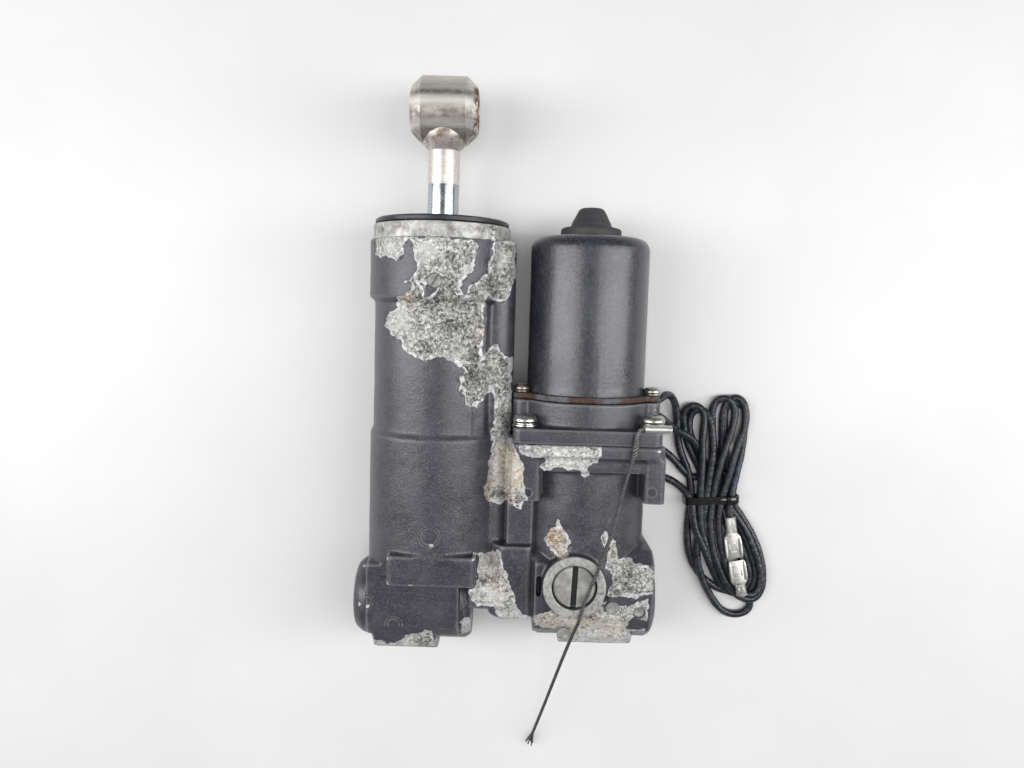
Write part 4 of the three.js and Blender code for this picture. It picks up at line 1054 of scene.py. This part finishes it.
def casting_cutters():
    """The casting's bores: cylinder, pump, pivots, valve, plugs and screws."""
    bush_seat = BUSH["outer"] + 0.25
    cutters = [
        lathe("y", CYLINDER, [(0, -98), (26, -98), (26, 59.6), (28.6, 59.6), (28.6, 90), (0, 90)], 80),
        rod("y", MOTOR, 29, -89, -20, 80),
        rod("x", PIVOT, 9, -90, 90, 48),
        rod("x", PIVOT, bush_seat, -90, -62.3, 64),
        rod("x", PIVOT, bush_seat, 62.3, 90, 64),
        lathe("z", VALVE, [(0, 40), (5.6, 50), (5.6, 64.5), (11.6, 64.5), (11.6, 90), (0, 90)], 64),
        rod("z", BLEED, 3.85, 68.4, 90, 40),
        block((16.3, 19.2), (-114, -102.5), (62, 90), 1.3),
    ]
    cutters += [rod("z", (x, y), r + 0.2, face - 4.6, 90, 40) for _, x, y, r, face in GALLERY_PLUGS]
    cutters += [rod("y", (x, z), 3.3, -50 if z < AXIS_Z else -56, -20, 24) for _, x, z, _ in CORNER_SCREWS]
    return cutters


def mark_cutters(casting):
    """Rings that cut a shallow groove where the casting's front surface is, and round dimples."""
    def surface(x, y):
        hit, place, _, _ = casting.ray_cast(Vector((x, y, 100)) * MM, Vector((0, 0, -1)))
        return place.z / MM if hit else AXIS_Z

    rings = [tube("z", (x, y), r - 0.27, r + 0.27, surface(x, y) - 0.6, 90, 48) for x, y, r in DIE_MARKS]
    return rings + [rod("z", (x, y), r, surface(x, y) - depth, 90, 32) for x, y, r, depth in DIMPLES]


# Below WEAR_FLOOR the wear value grows by WEAR_FADE for each millimetre, which keeps wear off the back.
# Beyond CAP_SEAM_Y the casting is machined, and always bare.
WEAR_FLOOR = 42.0
WEAR_FADE = 1.6
CAP_SEAM_Y = 68.95


def distance_to_outline(points, outline):
    """Signed distance from each point to a closed outline, less than zero inside."""
    corners = np.array(outline, float)
    nearest = np.full(len(points), 1e9)
    inside = np.zeros(len(points), bool)
    for a, b in zip(corners, np.roll(corners, -1, axis=0)):
        run = b - a
        t = np.clip(((points - a) @ run) / run.dot(run), 0, 1)
        nearest = np.minimum(nearest, np.linalg.norm(points - a - t[:, None] * run, axis=1))
        crosses = (a[1] > points[:, 1]) != (b[1] > points[:, 1])
        at = a[0] + (points[:, 1] - a[1]) * run[0] / (run[1] if run[1] else 1e-9)
        inside ^= crosses & (points[:, 0] < at)
    return np.where(inside, -nearest, nearest)


def wear_of(place):
    """Millimetres from the edge of the bare metal, less than zero where the paint is gone."""
    front = place[:, :2]
    wear = np.full(len(place), 12.0)
    for outline in BARE_PATCHES:
        wear = np.minimum(wear, distance_to_outline(front, outline))
    for outline in PAINT_ISLANDS:
        wear = np.maximum(wear, -distance_to_outline(front, outline))
    for x, y, radius in CHIPS:
        wear = np.minimum(wear, np.hypot(front[:, 0] - x, front[:, 1] - y) - radius + 0.6)
    behind = np.clip(WEAR_FLOOR - place[:, 2], 0.0, 12.0)
    wear = wear + behind * WEAR_FADE
    return np.where(place[:, 1] > CAP_SEAM_Y, -6.0, wear)


def spots(place, spots_list):
    """How strongly each place lies in the soft spots of (x, y, radius, strength)."""
    total = np.zeros(len(place))
    for x, y, radius, strength in spots_list:
        away = np.hypot(place[:, 0] - x, place[:, 1] - y) / radius
        total = np.maximum(total, strength * np.clip(1.6 - 1.3 * away, 0.0, 1.0))
    return total


def rows_of_three(items, key):
    flat = np.empty(len(items) * 3, np.float32)
    items.foreach_get(key, flat)
    return flat.reshape(-1, 3)


def mesh_places(mesh):
    """The mesh's points, in millimetres."""
    return rows_of_three(mesh.vertices, "co") / MM


def mesh_normals(mesh):
    return rows_of_three(mesh.vertex_normals, "vector")


def edge_sharpness(mesh):
    """How sharply the surface bends at each point: above zero on an edge, below zero in a corner."""
    place = mesh_places(mesh)
    pairs = np.empty(len(mesh.edges) * 2, np.int32)
    mesh.edges.foreach_get("vertices", pairs)
    a, b = pairs.reshape(-1, 2).T
    length = np.linalg.norm(place[a] - place[b], axis=1)
    count = len(place)
    degree = np.maximum(np.bincount(a, minlength=count) + np.bincount(b, minlength=count), 1)

    def neighbours_mean(values):
        return (np.bincount(a, values[b], count) + np.bincount(b, values[a], count)) / degree

    middle = np.stack([neighbours_mean(place[:, i]) for i in range(3)], axis=1)
    reach = (np.bincount(a, length, count) + np.bincount(b, length, count)) / degree
    bend = 4 * ((place - middle) * mesh_normals(mesh)).sum(axis=1) / np.maximum(reach, 0.3) ** 2
    bend = np.clip(bend, -2.0, 2.0)
    for _ in range(2):
        bend = 0.5 * bend + 0.5 * neighbours_mean(bend)
    return bend


def move_along_normals(mesh, amount):
    place = mesh_places(mesh) + mesh_normals(mesh) * amount[:, None]
    mesh.vertices.foreach_set("co", (place * MM).astype(np.float32).ravel())
    mesh.update()


def waves(place, size, seed):
    """Smooth seeded unevenness between about -1 and 1, from crossed waves of about that size."""
    rng = np.random.default_rng(seed)
    total = np.zeros(len(place))
    for _ in range(24):
        direction = rng.normal(size=3)
        direction *= 2 * math.pi / (size * rng.uniform(0.7, 1.5) * np.linalg.norm(direction))
        total += np.sin(place @ direction + rng.uniform(0, 2 * math.pi))
    return total / 5.0


def finish_casting(piece, look, sharp):
    """Material, shading and body of a piece that fused() made."""
    dress(piece, [LOOKS[look]])
    shade(piece.data, sharp)
    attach(piece, "housing")


def add_casting():
    casting = fused("painted_casting", casting_shells(), voxel=0.78, smoothing=4)
    place = mesh_places(casting.data)
    wear = wear_of(place)
    eaten = np.clip(0.5 - (wear + 1.1 * waves(place, 6.0, 3)) / 1.6, 0.0, 1.0)
    pits = np.clip(waves(place, 2.6, 5), -1, 1)
    sunk = -eaten * (0.22 + 0.16 * pits) + 0.05 * waves(place, 26.0, 7) + 0.025 * waves(place, 7.0, 9)
    move_along_normals(casting.data, sunk)
    cut_away(casting, casting_cutters() + mark_cutters(casting))
    place = mesh_places(casting.data)
    add_values(casting, "wear", wear_of(place))
    # The surface's bend, which the paint turns into painted highlight on edges and painted shade in corners.
    add_values(casting, "edge", edge_sharpness(casting.data))
    tint = np.stack([spots(place, table) for table in (ORANGE_PLACES, PALE_PLACES, DARK_PLACES)], axis=1)
    tint[place[:, 2] < 34] = 0
    add_values(casting, "tint", tint, "FLOAT_VECTOR", "vector")
    finish_casting(casting, "casting_paint", 50)
    stand_in(casting, "main_casting")


add_casting()

# Bare machined faces of the casting: its turned end by the cap, and the ring round the release valve.
turned_end = tube("y", CYLINDER, 28.6, 36.5, 68.7, 76.7, 128, 0.4)
valve_ring = tube("z", VALVE, 11.6, 16.15, 74.2, 76.0, 96, 0.5)
add_piece("machined_band", [turned_end], LOOKS["machined_band"])
add_piece("valve_boss_face", [valve_ring], LOOKS["crusted_ring"])


# ---- Cylinder parts -----------------------------------------------------------------------------
def add_turned(name, look, node, axis, centre, profile, body="housing", radius=0.0, segments=128,
               sharp=30):
    """A turned piece that stands for a CAD node. Its profile's corners are rounded to the radius."""
    shape = rounded(profile, radius) if radius else profile
    piece = add_piece(name, [lathe(axis, centre, shape, segments)], LOOKS[look], body, sharp)
    stand_in(piece, node)
    return piece


CAP_PROFILE = [
    (8.9, 69.4), (13.4, 69.4), (13.4, 60), (28.2, 60), (28.2, 69.5), (26.2, 69.5), (26.2, 72.5),
    (28.2, 72.5), (28.2, 76.9), (34.6, 76.9), (35.5, 77.6), (35.5, 79.2), (34.4, 80.1), (28, 80.4),
    (13.4, 80.5), (12.4, 79.8), (12.4, 77), (8.9, 77), (8.9, 69.4),
]
WIPER_PROFILE = [(8.5, 77.3), (12.2, 77.3), (12.2, 80.2), (11.2, 81.0), (9.6, 81.3), (8.5, 80.6),
                 (8.5, 77.3)]
ROD_PROFILE = [(0, -84), (5.6, -84), (6, -83.4), (6, -56), (8.3, -56), (8.3, 80.6), (8.3, 99.05), (0, 99.1)]
add_turned("turned_end_cap", "end_cap_metal", "end_cap", "y", CYLINDER, CAP_PROFILE)
add_turned("wiper_lip", "seal_rubber", "rod_wiper", "y", CYLINDER, WIPER_PROFILE)
add_turned("plated_rod", "chrome_plate", "piston_rod", "y", CYLINDER, ROD_PROFILE, "rod")


def add_rod_eye():
    """A barrel across the rod's end, with a flared neck and a bore for its bush."""
    middle = CYLINDER[0]
    half = [(17.5, 11.6), (17.4, 11.8), (12.4, 17.1), (11.4, 17.6), (0, 17.6)]
    barrel = [(r, middle - x) for r, x in reversed(half)] + [(r, middle + x) for r, x in half]
    neck = [(0, 99.15), (8.28, 99.15), (8.3, 99.4), (8.3, 116.6), (9.3, 118), (10.9, 119.6), (12.1, 121.4),
            (13.1, 124), (13.4, 126.6), (13.3, 130.5), (11.5, 133), (0, 133)]
    eye = add_piece("machined_rod_eye", [lathe("x", EYE, barrel, 128)], LOOKS["eye_steel"], "rod")
    combined(eye, [lathe("y", CYLINDER, neck, 96)], "UNION")
    cut_away(eye, [rod("x", EYE, 10.1, -70, 0, 96)])
    shade(eye.data, 20)
    stand_in(eye, "rod_eye")


add_rod_eye()
eye_bush = tube("x", EYE, 8.2, 10.0, CYLINDER[0] - 17.3, CYLINDER[0] + 17.3, 96, 0.4)
stand_in(add_piece("split_eye_bush", [eye_bush], LOOKS["bronze"], "rod"), "rod_eye_bush")
for side, ends in (("left", (-81.2, -62.6)), ("right", (62.6, 81.2))):
    pivot_bush = tube("x", PIVOT, BUSH["inner"], BUSH["outer"], *ends, 96, 0.5)
    piece = add_piece(f"flanged_pivot_bush_{side}", [pivot_bush], LOOKS["bush_plastic"])
    stand_in(piece, f"pivot_bush_{side}")


# ---- Slotted plugs and the release valve --------------------------------------------------------
def slot_bar(x, y, half_width, half_length, low, high, degrees):
    """A flat bar about (x, y), turned from the X axis, that cuts or fills a screwdriver slot."""
    turn = math.radians(degrees)
    run = np.array([math.cos(turn), math.sin(turn)])
    side = np.array([-run[1], run[0]])
    outline = [(x, y) + u * half_length * run + v * half_width * side
               for u, v in ((-1, -1), (1, -1), (1, 1), (-1, 1))]
    return prism("z", outline, low, high)


BLEED_SLOT_TURN = 58
VALVE_SLOT_TURN = 88
BLEED_PROFILE = [(0, 68.8), (3.4, 68.8), (3.65, 69.2), (3.65, 75.1), (3.3, 75.4), (0, 75.45)]
bleed = add_turned("slotted_bleed_plug", "dull_plug", "bleed_plug", "z", BLEED,
                   BLEED_PROFILE, segments=64)
cut_away(bleed, [slot_bar(*BLEED, 0.6, 9, 73.9, 78, BLEED_SLOT_TURN)])
shade(bleed.data)

VALVE_PROFILE = [(0, 52.5), (4.9, 57.5), (4.9, 63), (3.4, 63), (3.4, 66), (4.9, 66), (4.9, 69.5),
                 (10.9, 69.5), (10.9, 74.0), (10.3, 74.6), (0, 74.6)]
valve = add_turned("slotted_valve_screw", "worn_steel", "release_valve_screw", "z", VALVE,
                   VALVE_PROFILE, "valve_screw", segments=96)
cut_away(valve, [slot_bar(*VALVE, 1.5, 20, 72.0, 80, VALVE_SLOT_TURN)])
shade(valve.data)
# A dark insert on the floor of the release screw's slot: painted shade in the slot, and packed grime.
shade_and_grime_bar = slot_bar(*VALVE, 1.46, 10.2, 71.9, 73.2, VALVE_SLOT_TURN)
grime = add_piece("valve_slot_shade_and_grime", [shade_and_grime_bar], LOOKS["slot_shade_and_grime"], "valve_screw")

for name, x, y, radius, face in GALLERY_PLUGS:
    plug = [(0, face - 4), (radius, face - 4), (radius, face - 0.5), (radius - 0.5, face),
            (radius * 0.5, face - 0.25), (0, face - 0.3)]
    add_turned(f"pressed_gallery_plug_{name}", "dull_plug", f"gallery_plug_{name}", "z",
               (x, y), plug, segments=48)


# ---- Motor --------------------------------------------------------------------------------------
# Screws of the can: name, x, look.
CAN_SCREWS = [("left", 6.2, "rusted_zinc"), ("right", 75.4, "zinc_plate")]
CAN_SCREW_Z = 48


def arc(centre_r, centre_along, radius, start, end, steps):
    """Points of a profile on an arc, from one angle to the other, in degrees."""
    angles = [math.radians(start + (end - start) * i / steps) for i in range(steps + 1)]
    return [(centre_r + radius * math.cos(a), centre_along + radius * math.sin(a)) for a in angles]


def add_motor_can():
    """The drawn can, with a long sag in its paint and a swell above its flange."""
    wall = [(31.65, y) for y in np.linspace(-10, 65.2, 36)]
    outside = [(31.65, -11.6), *wall, *arc(25.15, 66.8, 6.5, 4, 90, 10)]
    inside = [(0, 71.8), (9.4, 71.8), (9.4, 63.5), (12, 63.5), (12, 71.0), (24.45, 71.0), (29.45, 65.4),
              (29.45, -11.6), (31.65, -11.6)]
    shell = lathe("y", MOTOR, [(0, 73.3), *outside[::-1], *inside[::-1][1:]], 160)
    can = add_piece("painted_motor_can", [shell], LOOKS["can_paint"])
    place = mesh_places(can.data)
    x, y, z = place.T
    sag = 0.13 * np.exp(-((x - 44.6) / 0.7) ** 2) * np.clip((y + 12) / 4, 0, 1) * (y < 14) * (z > 40)
    bottom = 0.25 * np.exp(-((y + 8.5 - 0.6 * np.sin(x * 0.5)) / 1.2) ** 2)
    outer_face = np.hypot(x - MOTOR[0], z - MOTOR[1]) > 31.0
    move_along_normals(can.data, np.where(outer_face, sag + bottom + 0.04 * waves(place, 22.0, 11), 0.0))
    stand_in(can, "motor_can")


add_motor_can()


def add_can_flange():
    """The can's flange: a ring with two ears for the can's screws."""
    ears = rounded_rectangle((1.6, 79.2), (34.2, 55.8), 5)
    shells = [tube("y", MOTOR, 29.6, 35.3, -11.9, -8.9, 128), prism("y", ears, -11.9, -8.9)]
    flange = fused("can_flange", shells, voxel=0.5, smoothing=3)
    screw_holes = [rod("y", (x, CAN_SCREW_Z), 2.3, -20, 0, 24) for _, x, _ in CAN_SCREWS]
    cut_away(flange, [rod("y", MOTOR, 31.2, -20, 0, 96), *screw_holes])
    finish_casting(flange, "rusty_flange", 40)


add_can_flange()
NOSE_PROFILE = [(0, 73.4), (15.6, 73.4), (16.2, 74.2), (16.2, 77.4), (15.8, 78.2), (14.9, 78.6),
                (11.4, 79.2), (10.9, 79.8), (10.4, 81.4), (7.4, 87.2), (6.6, 88.5), (5.4, 89.2), (0, 89.5)]
add_turned("moulded_nose_cap", "nose_cap_rubber", "nose_cap", "y", MOTOR, NOSE_PROFILE,
           radius=0.4, sharp=40)


def add_motor_base():
    """The cast base between the pump housing and the can, and the turned spigot under it."""
    ears = rounded_rectangle((1.4, 79.4), (34, 56), 5)
    plate = rounded_rectangle((2, 77.6), (0.2, 76), 4)
    shells = [rod("y", MOTOR, 36, -25.2, -12.2, 128), prism("y", ears, -25.2, -12.2),
              prism("y", plate, -32.6, -25)]
    base = fused("painted_motor_base", shells, voxel=0.7, smoothing=3)
    cutters = [
        rod("y", MOTOR, 27.6, -19.1, 0, 64),
        rod("y", MOTOR, 8.9, -24.9, 0, 48),
        rod("y", MOTOR, 5, -50, 0, 32),
        rod("y", MOTOR, 8.9, -50, -31.7, 48),
    ]
    cutters += [rod("y", (x, z), 3.3, -40, -20, 24) for _, x, z, _ in CORNER_SCREWS]
    cutters += [rod("y", (x, z), 6.9, -25, 0, 48) for _, x, z, _ in CORNER_SCREWS]
    cutters += [rod("y", (x, CAN_SCREW_Z), 2.3, -24, 0, 24) for _, x, _ in CAN_SCREWS]
    cut_away(base, cutters)
    # The surface's bend, which the paint turns into painted highlight on edges and painted shade in corners.
    add_values(base, "edge", edge_sharpness(base.data))
    finish_casting(base, "base_paint", 45)
    stand_in(base, "motor_base")
    spigot = [(26.4, -39), (28.4, -39), (28.4, -37.4), (26.2, -37.4), (26.2, -34.6), (28.4, -34.6),
              (28.4, -32.5), (26.4, -32.5), (26.4, -39)]
    collar = add_piece("motor_base_spigot", [lathe("y", MOTOR, spigot, 96)], LOOKS["bare_aluminium"])


add_motor_base()


def add_screw(name, node, x, z, seat, head_r, head_height, washer, shank_r, length, look="zinc_plate"):
    """A domed head with a cross recess, a captive washer and a shank, standing up the Y axis."""
    top = seat + washer + head_height
    belly = seat + washer + 0.25 * head_height
    head = [(0, seat + washer), (head_r * 0.90, seat + washer), (head_r * 0.97, seat + washer + 0.4),
            (head_r, belly)]
    head += [(head_r - head_height * 0.62 * (1 - math.cos(t)), belly + (top - belly) * math.sin(t))
             for t in np.linspace(0.12, math.pi / 2, 12)]
    head.append((0, top))
    screw = add_piece(name, [lathe("y", (x, z), head, 64)], LOOKS[look])
    arm = head_r * 0.52
    width = head_r * 0.13
    depth = (top - head_height * 0.55, top + 2)
    cut_away(screw, [block((x - u, x + u), depth, (z - v, z + v)) for u, v in ((arm, width), (width, arm))])
    shade(screw.data, 35)
    flat_washer = tube("y", (x, z), shank_r, head_r * 1.06, seat, seat + washer * 0.55, 64, 0.15)
    spring_washer = tube("y", (x, z), shank_r, head_r * 0.92, seat + washer * 0.6, seat + washer, 64, 0.1)
    shank = rod("y", (x, z), shank_r, seat - length, seat + washer, 32, 0.4)
    rest = add_piece(name + "_shank", [flat_washer, spring_washer, shank], LOOKS[look])
    stand_in(screw, node)


M6_SCREW = {"head_r": 6.1, "head_height": 4.2, "washer": 1.7, "shank_r": 2.9, "length": 19.5}
M4_SCREW = {"head_r": 4.5, "head_height": 3.1, "washer": 0.7, "shank_r": 1.95, "length": 13}
for name, x, z, seat in CORNER_SCREWS:
    add_screw(f"pan_head_{name}", f"base_screw_{name}", x, z, seat, **M6_SCREW)
for name, x, look in CAN_SCREWS:
    add_screw(f"pan_head_can_{name}", f"can_screw_{name}", x, CAN_SCREW_Z, -8.6, **M4_SCREW, look=look)


# ---- Grommet and earth terminal -----------------------------------------------------------------
def add_grommet():
    """A rubber block shaped to the base's side, with a lip round each lead."""
    body = prism("x", rounded_rectangle((-23.9, -13.3), (18, 28), 3), 68, 79.2, 0.6, 3)
    exits = (POSITIVE_ROUTE[0], NEGATIVE_ROUTE[0])
    lips = [tube("x", (y, z), 2.0, 3.1, 78.6, 80.1, 32, 0.3) for _, y, z in exits]
    piece = add_piece("moulded_grommet", [body], LOOKS["seal_rubber"])
    cut_away(piece, [rod("y", MOTOR, 36.05, -40, 10, 96)])
    shade(piece.data, 35)
    rims = add_piece("grommet_lips", lips, LOOKS["seal_rubber"])
    stand_in(piece, "lead_grommet")


add_grommet()
tag = rounded_rectangle((69.8, 77.4), (67, 77.6), 1.2)
ring_tag = [tube("y", (73.6, 66), 3.2, 6.2, -24.65, -23.75, 64, 0.15),
            prism("y", tag, -24.65, -23.75, 0.15)]
CRIMP_PROFILE = [(1.2, 74), (1.45, 67.4), (1.9, 67.3), (2.2, 67.8), (2.05, 70), (2.1, 79.6), (2.2, 80.4),
                 (1.8, 80.7), (1.2, 80.5), (1.2, 74)]
crimp = lathe("x", (-22.9, 78.7), rounded(CRIMP_PROFILE, 0.2), 40)
earth = add_piece("crimped_earth_terminal", [*ring_tag, crimp], LOOKS["tinned_terminal"])
stand_in(earth, "earth_terminal")


# ---- CAD nodes that stay ------------------------------------------------------------------------
# Each keeps its CAD shape and gets the look that its slot in the record names.
SLOT_OF = {part["node"]: part["material_slot"] for part in frame["record"]["subparts"]}
for name, node in frame["nodes"].items():
    for material_slot in node.material_slots:
        material_slot.material = LOOKS.get(SLOT_OF.get(name), LOOKS["machined_steel"])


# ---- Table, light and view ----------------------------------------------------------------------
def table_look():
    """Plain pale table top, with a faint slow mottle."""
    look = Look("table_top")
    slow = look.noise(120.0, 3.0)
    fine = look.noise(2.5, 3.0)
    colour = look.mix(look.vary(slow), (0.525, 0.525, 0.522), (0.555, 0.555, 0.552))
    look.bump(fine, 0.02)
    return look.done(colour, look.vary(fine, 0.42, 0.5))


TABLE_REACH = (-3000, 3000)
table_mesh = new_mesh("table", [block(TABLE_REACH, TABLE_REACH, (-30, -0.05))])
table_top = new_object("table", table_mesh, table_look(), None)


def add_light(name, place, target, width, height, watts, glossy=True):
    """A rectangular softbox that looks at a target. Without glossy it doesn't show in reflections."""
    data = bpy.data.lights.new(name, "AREA")
    data.shape = "RECTANGLE"
    data.size = width
    data.size_y = height
    data.energy = watts
    light = bpy.data.objects.new(name, data)
    bpy.context.scene.collection.objects.link(light)
    light.location = place
    light.rotation_euler = (Vector(target) - Vector(place)).to_track_quat("-Z", "Y").to_euler()
    light.visible_glossy = glossy


# Places and sizes of the lights are in metres.
add_light("softbox_left", (-0.95, 0.05, 0.85), (0, 0, 0.03), 0.38, 1.4, 15.5)
add_light("softbox_right", (0.85, 0.05, 0.90), (0, 0, 0.03), 0.38, 1.4, 14.0)
add_light("overhead_fill", (0.005, 0.0, 1.25), (0.005, 0, 0), 0.4, 0.6, 6.5, glossy=False)

world = bpy.data.worlds.new("room")
world.use_nodes = True
background = world.node_tree.nodes["Background"]
background.inputs["Color"].default_value = (0.96, 0.98, 1.0, 1.0)
background.inputs["Strength"].default_value = 0.22
bpy.context.scene.world = world
bpy.context.scene.view_settings.view_transform = "Standard"
